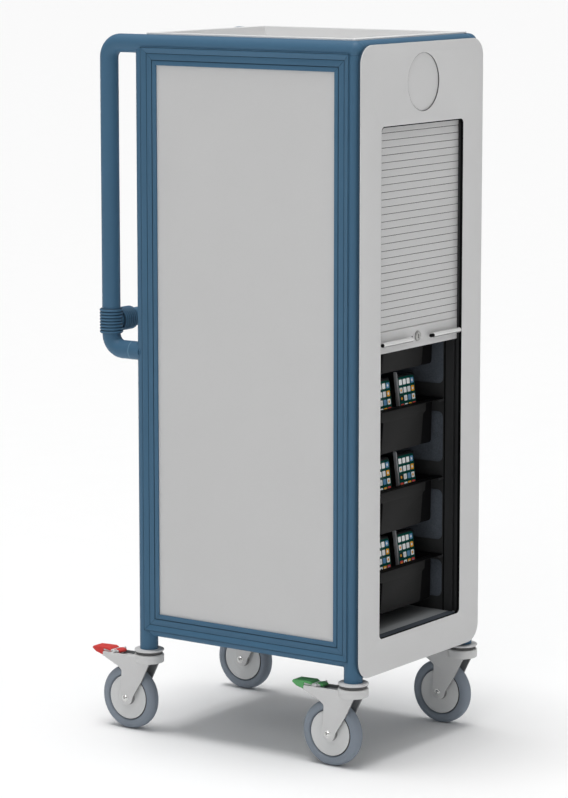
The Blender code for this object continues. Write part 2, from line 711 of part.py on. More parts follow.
def add_door_rail():
    low = DOOR_LOW_Z
    high = DOOR_LOW_Z + DOOR_RAIL_TALL
    rail_half = RUNNER_X - CURTAIN_PLAY
    rail_front = CURTAIN_Y - DOOR_RAIL_THICK / 2
    rail_back = CURTAIN_Y + DOOR_RAIL_THICK / 2
    body = box((-rail_half, rail_front, low), (rail_half, rail_back, high))
    tongue_front = CURTAIN_Y - CURTAIN_THICK / 2
    tongue_back = CURTAIN_Y + CURTAIN_THICK / 2
    tongue = box((-CURTAIN_HALF, tongue_front, low), (CURTAIN_HALF, tongue_back, high))
    lock_place = along_y((0, CURTAIN_Y, low + LOCK_UP))
    hole = cylinder(LOCK_R + CLEAR, -DOOR_RAIL_THICK, DOOR_RAIL_THICK, LOCK_STEPS, lock_place)
    add_piece("door_rail", cut(joined(body, [tongue]), [hole]), SLAT_GREY)

    grip_low = low + GRIP_UP
    grip_back = rail_front - CLEAR
    grip_top = grip_low + GRIP_TALL
    section = rounded_box((GRIP_FRONT_Y, grip_low), (grip_back, grip_top), GRIP_ROUND, GRIP_STEPS)
    grip = extrusion([section], GRIP_LONG, plane_yz(GRIP_FROM_MIDDLE + GRIP_LONG / 2))
    add_piece("door_grip_left", mirrored(grip), METAL)
    add_piece("door_grip_right", grip, METAL)


def add_lock():
    centre = (0, CURTAIN_Y, DOOR_LOW_Z + LOCK_UP)
    half = DOOR_RAIL_THICK / 2
    barrel = cylinder(LOCK_R, -half - LOCK_PROUD, half + CAM_THICK, LOCK_STEPS, along_y(centre))
    key_low = CURTAIN_Y - half - LOCK_PROUD - KEY_DEEP
    key_high = CURTAIN_Y - half - LOCK_PROUD + KEY_DEEP
    slot_z = centre[2]
    slot_low = slot_z - KEY_TALL / 2
    slot = box((-KEY_WIDE / 2, key_low, slot_low), (KEY_WIDE / 2, key_high, slot_low + KEY_TALL))
    cam_front = CURTAIN_Y + half + CLEAR
    cam_back = CURTAIN_Y + half + CAM_THICK - CLEAR
    cam = box((-CAM_WIDE / 2, cam_front, slot_z), (CAM_WIDE / 2, cam_back, slot_z + CAM_LONG))
    add_piece("lock_barrel", joined(cut(barrel, [slot]), [cam]), METAL, centre)


def add_roller():
    roll_half = RUNNER_X - CURTAIN_PLAY
    pin_half = RUNNER_X + GROOVE_DEEP
    profile = [
        (0, pin_half), (ROLL_PIN_R, pin_half), (ROLL_PIN_R, roll_half), (ROLL_R, roll_half),
        (ROLL_R, -roll_half), (ROLL_PIN_R, -roll_half), (ROLL_PIN_R, -pin_half), (0, -pin_half),
    ]
    place = (0, ROLL_Y, ROLL_Z)
    add_piece("shutter_roller", turned(profile, ROLL_STEPS, along_x(place)), SLAT_GREY, place)


# Runners and trays

def rim_heights():
    return [TRAY_FIRST_RIM_Z + TRAY_PITCH * index for index in range(TRAY_COUNT)]


def add_runners():
    low = BASE_TOP_Z + CLEAR
    high = TOP_FLOOR_Z - CLEAR
    outer = RUNNER_X + RUNNER_THICK
    front = FRONT_BACK_Y + CLEAR
    panel = box((RUNNER_X, front, low), (outer, RUNNER_REAR_Y, high))
    ribs = []
    for rim in rim_heights():
        top = rim - TRAY_WALL - CLEAR
        bite = RUNNER_X + RUNNER_THICK / 2
        ribs.append(box((RIB_INNER_X, TRAY_FRONT_Y, top - RIB_THICK), (bite, TRAY_REAR_Y, top)))
    groove_half = CURTAIN_THICK / 2 + CURTAIN_PLAY
    groove_low = (RUNNER_X - RUNNER_THICK, CURTAIN_Y - groove_half, low - RUNNER_THICK)
    groove_high = (RUNNER_X + GROOVE_DEEP, CURTAIN_Y + groove_half, high + RUNNER_THICK)
    groove = box(groove_low, groove_high)
    bearing_place = along_x((RUNNER_X, ROLL_Y, ROLL_Z))
    bearing = cylinder(ROLL_PIN_R + CLEAR, -RUNNER_THICK, 2 * RUNNER_THICK, ROLL_STEPS, bearing_place)
    runner = cut(joined(panel, ribs), [groove, bearing])
    add_piece("runner_panel_left", mirrored(runner), BLACK)
    add_piece("runner_panel_right", runner, BLACK)


def leaning_plate(y, length, low, high, width, x):
    """Upright plate whose front and back lean with the phones; y is its front edge at the low end."""
    shift = (high - low) * tan(PHONE_LEAN)
    outline = [(y, low), (y + length, low), (y + length + shift, high), (y + shift, high)]
    return extrusion([outline], width, plane_yz(x))


def tray_face(floor, under_rim):
    """Raised middle of a tray's front, rooted in the middle of the leaning wall behind it."""
    front = TRAY_FRONT_Y + TRAY_FACE_SET
    wall_middle = TRAY_FRONT_Y + TRAY_FRONT_SET + TRAY_WALL / 2
    low = floor + CLEAR
    high = under_rim + TRAY_WALL / 2
    outline = [
        (front, high), (front + TRAY_FACE_LEAN, low),
        (wall_middle + TRAY_DRAFT, low), (wall_middle, high),
    ]
    return extrusion([outline], 2 * PHONE_PITCH, plane_yz(0))


def tray_mesh(rim):
    """Tapered tray with a flat rim, a leaning rest and dividers for three phones along its front."""
    floor = rim - TRAY_DEEP
    rim_half = OPENING_HALF - TRAY_PLAY
    front = TRAY_FRONT_Y + TRAY_FRONT_SET
    rear = TRAY_REAR_Y - TRAY_REAR_SET
    steps = TRAY_CORNER_STEPS
    low_front = (-TRAY_HALF_LOW, front + TRAY_DRAFT)
    low_rear = (TRAY_HALF_LOW, rear - TRAY_DRAFT)
    low_ring = rounded_box(low_front, low_rear, TRAY_CORNER, steps)
    body_ring = rounded_box((-TRAY_HALF_TOP, front), (TRAY_HALF_TOP, rear), TRAY_CORNER, steps)
    rim_ring = rounded_box((-rim_half, TRAY_FRONT_Y), (rim_half, TRAY_REAR_Y), TRAY_CORNER / 2, steps)
    under_rim = rim - TRAY_WALL
    bite = TRAY_WALL / 2
    slot_front = front + TRAY_DRAFT + TRAY_WALL
    plate_low = floor + bite
    rest_wide = 2 * (TRAY_HALF_LOW - bite)
    rest = leaning_plate(slot_front + SLOT_DEEP, REST_THICK, plate_low, rim + REST_ABOVE_RIM, rest_wide, 0)
    plates = [rest, tray_face(floor, under_rim)]
    for side in (-1, 1):
        middle = side * PHONE_PITCH / 2
        top = rim + DIVIDER_ABOVE_RIM
        plates.append(leaning_plate(slot_front, DIVIDER_LONG, plate_low, top, DIVIDER_THICK, middle))
    return shell([(low_ring, floor), (body_ring, under_rim), (rim_ring, under_rim)], TRAY_WALL, plates)


def add_trays():
    for index, rim in enumerate(rim_heights()):
        add_piece("tray_" + str(index + 1), tray_mesh(rim), BLACK, (0, TRAY_FRONT_Y, rim))


# Castors

def fork_outline():
    """Side of a fork leg: trailing distance from the swivel axis, and height."""
    outline = [(-LEG_FRONT_Y, HEAD_LOW_Z), (TRAIL - LEG_TOE_Y, AXLE_Z + LEG_TOE_Z)]
    outline += arc((TRAIL, AXLE_Z), FORK_END_R, 225, 360, FORK_END_STEPS)
    outline.append((TRAIL + LEG_HEEL_Y, HEAD_LOW_Z - LEG_HEEL_Z))
    outline.append((TRAIL + LEG_BACK_Y, ARM_LOW_Z - LEG_BACK_Z))
    outline.append((ARM_PLAIN, ARM_LOW_Z))
    outline.append((ARM_PLAIN, ARM_SEAT_Z - FORK_LEG))
    outline.append((-LEG_FRONT_Y, ARM_SEAT_Z - FORK_LEG))
    return outline


def arm_outline(braked):
    if braked:
        rear = [
            (ARM_BRAKED, ARM_END_LOW_Z), (ARM_BRAKED, ARM_END_TOP_Z),
            (PEDAL_HINGE_Y + FORK_LEG / 2, ARM_END_TOP_Z + FORK_LEG / 4),
            (PEDAL_HINGE_Y, ARM_SEAT_Z), (PEDAL_FRONT_Y - FORK_LEG, ARM_SEAT_Z),
        ]
    else:
        rear = [(ARM_PLAIN, ARM_LOW_Z + CLEAR), (ARM_PLAIN, ARM_SEAT_Z - FORK_LEG / 2)]
    nose = -HEAD_R / 3
    front = [(PEDAL_FRONT_Y - 2 * FORK_LEG, ARM_TOP_Z), (nose, ARM_TOP_Z), (nose, ARM_LOW_Z + CLEAR)]
    return rear + front


def fork_mesh(braked):
    """Fork about the swivel axis at the origin, trailing towards +Y."""
    steps = ROUND_STEPS
    head_top = COLLAR_LOW_Z - CLEAR
    head = cylinder(HEAD_R, HEAD_LOW_Z, head_top, steps, along_z((0, 0, 0)))
    width = 2 * (FORK_GAP + FORK_LEG)
    arm = extrusion([arm_outline(braked)], width, plane_yz(0))
    bore = circle((TRAIL, AXLE_Z), AXLE_R + CLEAR, AXLE_STEPS)
    legs = []
    for side in (-1, 1):
        leg_x = side * (FORK_GAP + FORK_LEG / 2)
        legs.append(extrusion([fork_outline(), bore], FORK_LEG, plane_yz(leg_x)))
    return joined(head, [arm] + legs)


def hub_profile():
    boss = FORK_GAP - CLEAR
    bore = AXLE_R + CLEAR
    half = [(bore, boss), (BOSS_R, boss), (BOSS_R, HUB_HALF - HUB_DISH), (HUB_R, HUB_HALF)]
    return half + [(radius, -height) for radius, height in reversed(half)]


def tyre_profile():
    inner = HUB_R + CLEAR
    shoulder = WHEEL_R - TYRE_SHOULDER
    half = [(inner, HUB_HALF), (inner + CLEAR, TYRE_HALF), (shoulder, TYRE_HALF), (WHEEL_R, TREAD_HALF)]
    return half + [(radius, -height) for radius, height in reversed(half)]


def axle_profile():
    seat = FORK_GAP + FORK_LEG + CLEAR
    half = [(0, seat + AXLE_HEAD), (AXLE_HEAD_R, seat + AXLE_HEAD), (AXLE_HEAD_R, seat), (AXLE_R, seat)]
    return half + [(radius, -height) for radius, height in reversed(half)]


def collar_profile():
    neck_top = COLLAR_LOW_Z + COLLAR_NECK_TALL
    top = neck_top + COLLAR_TALL
    return [
        (0, top), (HEAD_R, top), (HEAD_R, neck_top), (COLLAR_NECK_R, neck_top),
        (COLLAR_NECK_R, COLLAR_LOW_Z), (0, COLLAR_LOW_Z),
    ]


def pedal_outline():
    low = ARM_SEAT_Z + CLEAR
    tip_low = PEDAL_TIP_Z - PEDAL_TIP_THICK
    return [
        (PEDAL_FRONT_Y, low), (PEDAL_HINGE_Y, low), (ARM_BRAKED, low),
        (PEDAL_TIP_Y - PEDAL_TIP_THICK / 3, tip_low), (PEDAL_TIP_Y, PEDAL_TIP_Z),
        (ARM_BRAKED + PEDAL_TIP_THICK, PEDAL_TOP_Z), (PEDAL_HINGE_Y + PEDAL_BOSS_R, PEDAL_TOP_Z),
        (PEDAL_FRONT_Y, low + PEDAL_BOSS_R),
    ]


def add_castors():
    for name, (x, y, pedal) in CASTORS.items():
        swivel = Matrix.Translation((x, y, 0))
        axle_place = (x, y + TRAIL, AXLE_Z)
        add_piece("castor_collar_" + name, turned(collar_profile(), ROUND_STEPS, swivel), CASTOR_GREY)
        fork = moved(fork_mesh(pedal is not None), swivel)
        add_piece("castor_fork_" + name, fork, CASTOR_GREY, (x, y, HEAD_LOW_Z))
        hub = turned(hub_profile(), WHEEL_STEPS, along_x(axle_place), closed=True, half_step=True)
        add_piece("wheel_hub_" + name, hub, CASTOR_GREY, axle_place)
        tyre = turned(tyre_profile(), WHEEL_STEPS, along_x(axle_place), closed=True, half_step=True)
        add_piece("wheel_tyre_" + name, tyre, RUBBER, axle_place)
        axle = turned(axle_profile(), AXLE_STEPS, along_x(axle_place))
        add_piece("wheel_axle_" + name, axle, METAL, axle_place)
        if pedal:
            hinge = (x, y + PEDAL_HINGE_Y, ARM_SEAT_Z + CLEAR + PEDAL_BOSS_R)
            lever = moved(extrusion([pedal_outline()], 2 * PEDAL_HALF, plane_yz(0)), swivel)
            add_piece("brake_pedal_" + name, lever, PEDAL_LOOKS[pedal], hinge)


clear_scene()
PARTS = bpy.data.collections.new("phone_storage_trolley")
bpy.context.scene.collection.children.link(PARTS)
TROLLEY = bpy.data.objects.new("trolley", None)
TROLLEY.location = (0, Y_SHIFT, 0)
PARTS.objects.link(TROLLEY)

PAINT = material("blue_paint", (0.063, 0.141, 0.223), 0.45)
PANEL_GREY = material("grey_panel", (0.52, 0.52, 0.52), 0.6)
SLAT_GREY = material("slat_grey", (0.50, 0.50, 0.50), 0.5)
BLACK = material("black_plastic", (0.02, 0.02, 0.02), 0.45)
METAL = material("bright_metal", (0.6, 0.6, 0.6), 0.25, 1.0)
CASTOR_GREY = material("castor_grey", (0.55, 0.55, 0.55), 0.5)
RUBBER = material("grey_rubber", (0.19, 0.22, 0.26), 0.7)
PEDAL_LOOKS = {
    "red": material("red_plastic", (0.46, 0.05, 0.045), 0.45),
    "green": material("green_plastic", (0.07, 0.33, 0.09), 0.45),
}

add_frame()
add_push_bar()
add_front_panel()
add_rear_panel()
add_base_panel()
add_top_tray()
add_sides()
add_curtain()
add_door_rail()
add_lock()
add_roller()
add_runners()
add_trays()
add_castors()
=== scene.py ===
"""Phone storage trolley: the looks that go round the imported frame, and the studio it stands in.

Metres, +Z up, front towards -Y. Places and sizes come from the frame's own boxes; the named values
below are only those that a box does not give.
"""
from math import cos, pi, radians, sin, sqrt, tan

import bmesh
import bpy
from mathutils import Matrix, Vector
from mathutils.geometry import tessellate_polygon


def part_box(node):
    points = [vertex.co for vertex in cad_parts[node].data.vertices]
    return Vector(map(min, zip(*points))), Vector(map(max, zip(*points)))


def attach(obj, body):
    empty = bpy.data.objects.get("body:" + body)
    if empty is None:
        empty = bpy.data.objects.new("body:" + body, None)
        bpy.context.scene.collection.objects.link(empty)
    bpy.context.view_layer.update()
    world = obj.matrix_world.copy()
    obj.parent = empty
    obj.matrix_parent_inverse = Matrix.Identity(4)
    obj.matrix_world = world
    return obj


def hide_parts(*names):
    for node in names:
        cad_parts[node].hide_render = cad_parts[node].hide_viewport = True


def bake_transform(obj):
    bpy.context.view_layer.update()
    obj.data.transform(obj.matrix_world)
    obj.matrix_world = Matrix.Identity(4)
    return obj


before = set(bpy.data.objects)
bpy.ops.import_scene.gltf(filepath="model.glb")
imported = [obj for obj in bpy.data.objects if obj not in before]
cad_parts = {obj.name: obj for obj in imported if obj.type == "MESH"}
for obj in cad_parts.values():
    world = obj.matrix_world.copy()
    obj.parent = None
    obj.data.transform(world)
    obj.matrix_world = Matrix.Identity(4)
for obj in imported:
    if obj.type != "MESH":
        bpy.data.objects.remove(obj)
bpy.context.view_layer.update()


def low(node):
    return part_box(node)[0]


def high(node):
    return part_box(node)[1]


def middle(node):
    return (low(node) + high(node)) / 2


def half(node):
    return (high(node) - low(node)) / 2


# Small gaps, and how finely round shapes are cut
WELD = 1e-6
CLEAR = 0.0003
EDGE_STEPS = 3
TRIM_STEPS = 3
SMALL_STEPS = 4
LEVER_STEPS = 5
CORNER_STEPS = 6
WIDE_STEPS = 8
PIN_STEPS = 24
AXLE_STEPS = 32
ROD_STEPS = 40
DISC_STEPS = 64
WHEEL_STEPS = 72
SMOOTH_ANGLE = 40
FACING = 0.5
UP = Vector((0, 0, 1))

# Tube frame
TUBE_R = half("push_bar").z
POST_X = middle("castor_collar_front_right").x
FRONT_Y = middle("castor_collar_front_right").y
REAR_Y = middle("castor_collar_rear_right").y
FOOT_Z = high("castor_collar_front_right").z + CLEAR
TOP_Z = high("front_hoop").z - TUBE_R
RAIL_Z = middle("bottom_rail_right").z
RAIL_R = half("bottom_rail_right").z
HANDLE_Y = high("handle_rail_right").y - TUBE_R
HANDLE_LOW_Z = low("handle_rail_right").z + TUBE_R
PUSH_BAR_Z = middle("push_bar").z
HOOP_BEND = 0.0185
HANDLE_BEND = 0.028
BEND_STEPS = 14
TUBE_RES = 14
WELD_BEAD = 0.0013
WELD_RES = 2
SEAM_WIDE = 0.0009
SEAM_BACK = 0.024
SLEEVE_WALL = 0.0028
RIB_HEIGHT = 0.0022
RIB_PITCH = 0.0059
UPRIGHT_RIBS = 8
CROSS_RIBS = 7
RIB_STEPS = 6
SLEEVE_STEPS = 56

# Front panel
PANEL_BACK_Y = high("front_panel").y
PANEL_THICK = PANEL_BACK_Y - low("front_panel").y
PANEL_HALF = high("front_panel").x
PANEL_LOW_Z = low("front_panel").z
PANEL_TOP_Z = high("front_panel").z
PANEL_CORNER = 0.035
PANEL_STEPS = 16
PANEL_EDGE = 0.0006
HOLE_EDGE = 0.0003
# Thickness of the dark sheet behind the front panel, whose edge is a painted shadow line
SHADOW_GASKET = 0.0040
STILE = 0.0686
HEADER = 0.1477
SILL_UP = 0.0005
OPENING_HALF = PANEL_HALF - STILE
OPENING_LOW_Z = high("base_panel").z + SILL_UP
OPENING_TOP_Z = PANEL_TOP_Z - HEADER
OPENING_CORNER = 0.009
# Widths of the near-black band of painted shade round the opening
SHADE_LINE_SIDE = 0.0004
SHADE_LINE_TOP = 0.0020
ROUNDEL_R = 0.0535
ROUNDEL_DOWN = 0.0732
ROUNDEL_Z = PANEL_TOP_Z - ROUNDEL_DOWN
ROUNDEL_DEPTH = 0.0024
# Width of the dark ring of painted shade round the roundel's recess
ROUNDEL_LINE = 0.0005

# Top tray
TRAY_TOP_WALL = 0.002
TRAY_TOP_CORNER = 0.0026
TRAY_TOP_FILLET = 0.003
TRAY_TOP_LIP = 0.0032
TRAY_TOP_OVER = 0.0172

# Snap rails
SNAP_X = POST_X + TUBE_R + CLEAR
SNAP_UNDER = high("poster_panel_right").x + CLEAR - SNAP_X
SNAP_WIDTH = 0.034
SNAP_EDGE = 0.0015
SNAP_BAND = 0.004
SNAP_SLOPE_END = 0.012
SNAP_STEP = 0.0038
SNAP_GROOVE_AT = 0.024
SNAP_GROOVE_WIDE = 0.0018
SNAP_GROOVE_DEEP = 0.0012
SNAP_LINE = 0.0009
SNAP_LIP = 0.0009
MITRE_SETBACK = 0.0003

# Shutter
SLAT_PITCH = 0.013
SLAT_GROOVE = 0.0014
SLAT_GAP = 0.0004
SLAT_ROUND = 0.0004
RAIL_CORNER = 0.0015
RAIL_EDGE = 0.0013
TONGUE_EDGE = 0.0008
DOOR_SEAL_IN = 0.002
DOOR_SEAL_TALL = 0.003
DOOR_SEAL_EDGE = 0.0004
GRIP_R = 0.0045
GRIP_EDGE = GRIP_R / 4
GRIP_CAPS = {"left": 0.004, "right": 0.010}
GRIP_FOOT = 0.012
# Faces of a grip bar whose normals point lower than this get painted shade
PAINTED_SHADE_BELOW = -0.3
SCREW_X = 0.0185
SCREW_R = 0.0021
SCREW_PROUD = 0.0016
# Shares of the screw's radius and height
SCREW_DOME = [(0, 1), (0.7, 0.8), (1, 1 / 3), (1, 0)]
LOCK_R = half("lock_barrel").x
LOCK_Z = low("lock_barrel").z + LOCK_R
LOCK_STEP = LOCK_R / 14
# Shares of the lock's radius, and steps behind its face
LOCK_FACE = [(0, 1), (0.70, 1), (0.73, 0.2), (0.79, 0), (0.92, 0), (0.98, 0.6), (1, 2)]
# Key slot drawn as a near-black plate: painted shade of the keyway
KEY_WIDE = 0.0016
KEY_TALL = 0.009
CAM_WIDE = 0.010
CAM_ROUND = CAM_WIDE / 2.2
CAM_THICK = 0.003

# Trays
TRAY_COUNT = 6
SLIDING_TRAYS = 3
TRAY_DROP = 0.006
TRAY_WALL = 0.0025
TRAY_FRONT_SET = 0.013
TRAY_REAR_SET = 0.010
TRAY_SIDE_SET = 0.0175
TRAY_DRAFT = 0.001
TRAY_CORNER = 0.0045
TRAY_FILLET = 0.006
FACE_TOP_HALF = 0.077
FACE_LOW_HALF = 0.069
FACE_BROW = 0.017
FACE_STEP = 0.004
FACE_LEAN = 0.006
FACE_FOOT = 0.0035
FACE_CORNER = 0.007
FACE_SET = 0.0005
FACE_EDGE = 0.0015
SLOT_BACK = 0.0125
SLOT_DEEP = 0.0165
PLATE_THICK = 0.003
PLATE_EDGE = 0.0006
REST_UP = 0.022
REST_ROUND = 0.001
DIVIDER_UP = 0.056
DIVIDER_SET = -0.0008
DIVIDER_LONG = 0.007
DIVIDER_ROUND = 0.002

# Phones and their screens
PHONE_PITCH = 0.0845
PHONE_LEAN = radians(7)
PHONE_WIDE = 0.060
PHONE_TALL = 0.1298
PHONE_THICK = 0.0082
PHONE_CORNER = 0.0088
PHONE_STEPS = 10
PHONE_EDGE = 0.0022
PHONE_FRAME = 0.0026
PHONE_BROW = 0.0058
GLASS_SUNK = 0.001
GLASS_PROUD = 0.00012
GLASS_EDGE = 0.0001
SCREEN_GLOW = 0.3
ICON_PITCH = {"X": 0.0134, "Z": 0.0154}
ICON_HALF = 0.0052
ICON_CORNER = 0.0018
ICON_DOT = 0.0026
ICON_ROW_Z = 0.1145
ICON_SEED = 52

# Inner walls and sill
# Lighter fields on the inner walls: painted light where light falls on them
FIELD_UP = 0.026
FIELD_TALL = 0.097
FIELD_BACK = 0.003
FIELD_CORNER = 0.011
FIELD_THICK = 0.0009
SILL_DEEP = 0.019
# Near-black strip on each inner wall ahead of the fields: painted shade of a groove
GROOVE_AHEAD = 0.0028
GROOVE_WIDE = 0.0022

# Wheels; points are a radius and a place along the axle
TYRE_TALL = 0.0179
# Out from the hub's radius, and along the axle
TYRE_FOOT = [(-0.0004, 0.0070), (0.0010, 0.0092)]
# Out from the hub's radius, and in from the tyre's side
TYRE_LIP = [(0.0022, 0.0004), (0.0040, 0)]
# In from the tread, and in from the tyre's side
TYRE_ROUND = [(0.0085, 0), (0.0052, 0.0009), (0.0025, 0.0030)]
# In from the tread, and along the axle
TREAD = [(0.0008, 0.0067), (0, 0.0035)]
HUB_BORE = 0.0053
BOSS_R = 0.0115
BOSS_EDGE = 0.0009
BOSS_FOOT = (0.0130, 0.0098)
HUB_DISH = (0.0150, 0.0084)
# Share of the hub's radius, and along the axle
HUB_CONE = (0.60, 0.0090)
HUB_FACE = (0.90, 0.0100)
# Other sizes of the hub
HUB_EDGE = 0.0006
HUB_LINE = 0.0014
HUB_LINE_DEEP = 0.0032
HUB_SHORT = 0.0002
# Ring round the boss painted darker: painted shadow of the fork's leg
HUB_SHADOW_RING = (0.0126, 0.0152)
AXLE_R = 0.0045
# Radius, and out from the fork's side
BOLT_DOME = [(0, 0.0040), (0.0020, 0.0038), (0.0036, 0.0031), (0.0047, 0.0019), (0.0051, 0.0010)]
BOLT_WASHER = [(0.0066, 0.0009), (0.0069, 0.0005), (0.0069, 0), (0, 0)]
BOLT_SOCKET = [(0, 0.0042), (0.0012, 0.0042), (0.0013, 0.0036), (0, 0.0036)]

# Castor collars and forks; pairs are distances along Y and Z from the swivel, the axle or the arm
COLLAR_NECK = 0.0058
# Edges: in from the disc's side, and from its upper or lower face
COLLAR_EDGE = [(0.0015, 0), (0.0004, 0.0005), (0, 0.0016)]
COLLAR_UNDER_EDGE = [(0, 0.0010), (0.0008, 0)]
SEAL_SET = 0.0034
SEAL_EDGE = 0.0004
FORK_GAP = 0.0145
FORK_LEG = 0.004
FORK_EDGE = 0.0008
FORK_BORE = 0.0050
HEAD_UP = 0.005
# Edges, as on the collar
HEAD_EDGE = [(0.0020, 0), (0.0006, 0.0006), (0, 0.0020)]
HEAD_UNDER_EDGE = [(0, 0.0030), (0.0009, 0.0009), (0.0030, 0)]
ARM_UP = 0.0071
ARM_TALL = 0.0175
ARM_NOSE = (0.008, 0.004)
BRAKED_ARM = (0.0076, 0.0155)
CHEEK_FRONT = 0.0125
LEG_KNEE = (0.0055, 0.036)
LEG_SHIN = (0.0175, 0.004)
LEG_TOE = (0.0125, 0.013)
LEG_HEEL = (0.0120, 0.013)
LEG_CALF = (0.0110, 0.020)
LEG_NECK = (0.0090, 0.020)
ARM_ROOT = (0.0190, 0.008)
CHEEK_ROUNDS = [0.003, 0.004, 0.040, 0.010, 0.0115, 0.0120, 0.030, 0.006, 0.010]
ARM_ROUNDS = [0.003, 0.003, 0.004]
BRAKED_ARM_ROUND = 0.0015
WEB_FRONT = 0.008
WEB_LOW = 0.001
WEB_HIGH = 0.0102
WEB_ROUND = 0.003
WEB_SHORT = 0.006
WEB_PAST_HINGE = 0.018
# Normal limits for the cheeks' painted shade: side faces that do not face up, and faces towards the wheel
CHEEK_FLAT = 0.6
CHEEK_TOP = 0.4

# Brake pedals; heights are measured down from the pedal's top
PEDAL_SET = 0.0035
PEDAL_HINGE_Y = 0.072
PEDAL_HINGE_DOWN = 0.0080
PEDAL_PAST = 0.0016
PEDAL_OVER = 0.0160
PEDAL_EDGE = 0.0007
PEDAL_ROUND = 0.0012
WEDGE_DEEP = 0.0165
WEDGE_CHIN = (0.0100, 0.0120)
WEDGE_TIP = 0.0052
WEDGE_BROW = (0.0030, 0.0012)
WEDGE_NAPE = 0.0060
WEDGE_END = (0.0030, 0.0062)
WEDGE_NOTCH = 0.0036
WEDGE_ROUNDS = [0.0016, 0.0030, 0.0012, 0.0016, 0.0030, 0.0012, 0.0012, 0.0008]
TAB_SPAN = (0.0615, 0.0775)
TAB_CREST = (0.0700, 0.0012)
TAB_DEEP = 0.0078
TAB_ENDS = (0.0034, 0.0026)
TAB_ROUND = 0.0030
TAB_EDGE = 0.0009
TAB_SHARE = 0.7
PEDAL_RIBS = 4
PEDAL_RIB_PITCH = 0.0050
PEDAL_RIB_WIDE = 0.0020
PEDAL_RIB_DEEP = 0.0040
PEDAL_RIB_SET = 0.0001
PEDAL_RIB_FALL = 0.00022
PEDAL_RIB_ROUND = 0.0009
PEDAL_RIB_EDGE = 0.0006
PEDAL_RIB_SHARE = 0.8
STEM_START = 0.0660
STEM_DOWN = (0.0112, 0.0070)
STEM_REACH = 0.0030
STEM_SIDE = 0.0014
HINGE_PIN_R = 0.0024
HINGE_PIN_FACE = 0.0017
HINGE_PIN_EDGE = 0.0008

# Grain of every look: broad clouds in the colour, fine grain over them
CLOUD_SCALE = 9
CLOUD_DETAIL = 4
GRAIN_DETAIL = 3
GRAIN_SHARE = 0.4
GRAIN_DEEP = 0.0004
SHADE_STOPS = (0.25, 0.75)
FINISH_VARY = 0.06
BRUSHED = (0.1, 1, 1)

# Places of the colour sockets on a mix node
MIX_BELOW = 6
MIX_ABOVE = 7
MIX_RESULT = 2

# Camera, found from the photo's vanishing lines
CAMERA_PLACE = (-4.94728, -3.44562, 1.59348)
CAMERA_TURN = (radians(80.997), 0, radians(-55.123))
CAMERA_LENS = 144.2
CAMERA_SENSOR = 36
CAMERA_REACH = 100

# Studio light: sky at the horizon and overhead, soft light from above and a lamp from the left
SKY_LOW = 0.10
SKY_HIGH = 0.63
TOP_LIGHT_AIM = (0.05, -0.06, -1)
TOP_LIGHT_SPREAD = radians(26)
TOP_LIGHT_POWER = 1.95
SIDE_LAMP = (-4.2, -1.6, 4.4)
SIDE_LAMP_WIDE = 2.5
SIDE_LAMP_POWER = 30
FLOOR_R = 80
FLOOR_TINT = (0.93, 0.93, 0.93, 1)

CASTORS = ("front_left", "front_right", "rear_left", "rear_right")
PEDALS = {"front_left": "green", "rear_left": "red"}
SIDES = {"left": -1, "right": 1}


# Outlines

def arc(centre, radius, start, end, steps):
    """Points on an arc, angles in degrees."""
    points = []
    for step in range(steps + 1):
        angle = radians(start + (end - start) * step / steps)
        points.append(Vector((centre[0] + radius * cos(angle), centre[1] + radius * sin(angle), 0)))
    return points


def circle(centre, radius, steps):
    return arc(centre, radius, 0, 360 * (steps - 1) / steps, steps - 1)


def rounded_box(lower, upper, radius, steps=CORNER_STEPS):
    """Rectangle with round corners, counter-clockwise."""
    points = arc((upper[0] - radius, lower[1] + radius), radius, -90, 0, steps)
    points += arc((upper[0] - radius, upper[1] - radius), radius, 0, 90, steps)
    points += arc((lower[0] + radius, upper[1] - radius), radius, 90, 180, steps)
    points += arc((lower[0] + radius, lower[1] + radius), radius, 180, 270, steps)
    return points


def bent(corners, radii, steps=CORNER_STEPS, closed=True):
    """Outline or open path through the corners, each turned with its own radius."""
    points = [Vector(corner).to_3d() for corner in corners]
    count = len(points)
    path = []
    for index, corner in enumerate(points):
        radius = radii[index]
        if radius == 0 or not (closed or 0 < index < count - 1):
            path.append(corner)
            continue
        into = (corner - points[index - 1]).normalized()
        out = (points[(index + 1) % count] - corner).normalized()
        half_turn = into.angle(out) / 2
        side = (out - into * into.dot(out)).normalized()
        centre = corner - into * radius * tan(half_turn) + side * radius
        for step in range(steps + 1):
            angle = 2 * half_turn * step / steps
            path.append(centre - side * radius * cos(angle) + into * radius * sin(angle))
    return path


def wound(loop, counter_clockwise):
    """Outline in the given turning sense."""
    area = 0
    for index, point in enumerate(loop):
        before = loop[index - 1]
        area += before.x * point.y - point.x * before.y
    if (area > 0) == counter_clockwise:
        return list(loop)
    return list(reversed(loop))


def inset(loop, distance):
    """Outline moved to its left by a distance, along its own corners' bisectors."""
    moved = []
    count = len(loop)
    for index, point in enumerate(loop):
        into = (point - loop[index - 1]).normalized()
        out = (loop[(index + 1) % count] - point).normalized()
        before = Vector((-into.y, into.x, 0))
        after = Vector((-out.y, out.x, 0))
        moved.append(point + (before + after) * (distance / (1 + before.dot(after))))
    return moved


def rounding(flat, side):
    """Profile points on a quarter of an ellipse, from the end of a flat to the start of a side."""
    points = []
    for step in range(EDGE_STEPS + 1):
        angle = pi / 2 * step / EDGE_STEPS
        radius = flat[0] + (side[0] - flat[0]) * sin(angle)
        points.append((radius, side[1] + (flat[1] - side[1]) * cos(angle)))
    return points


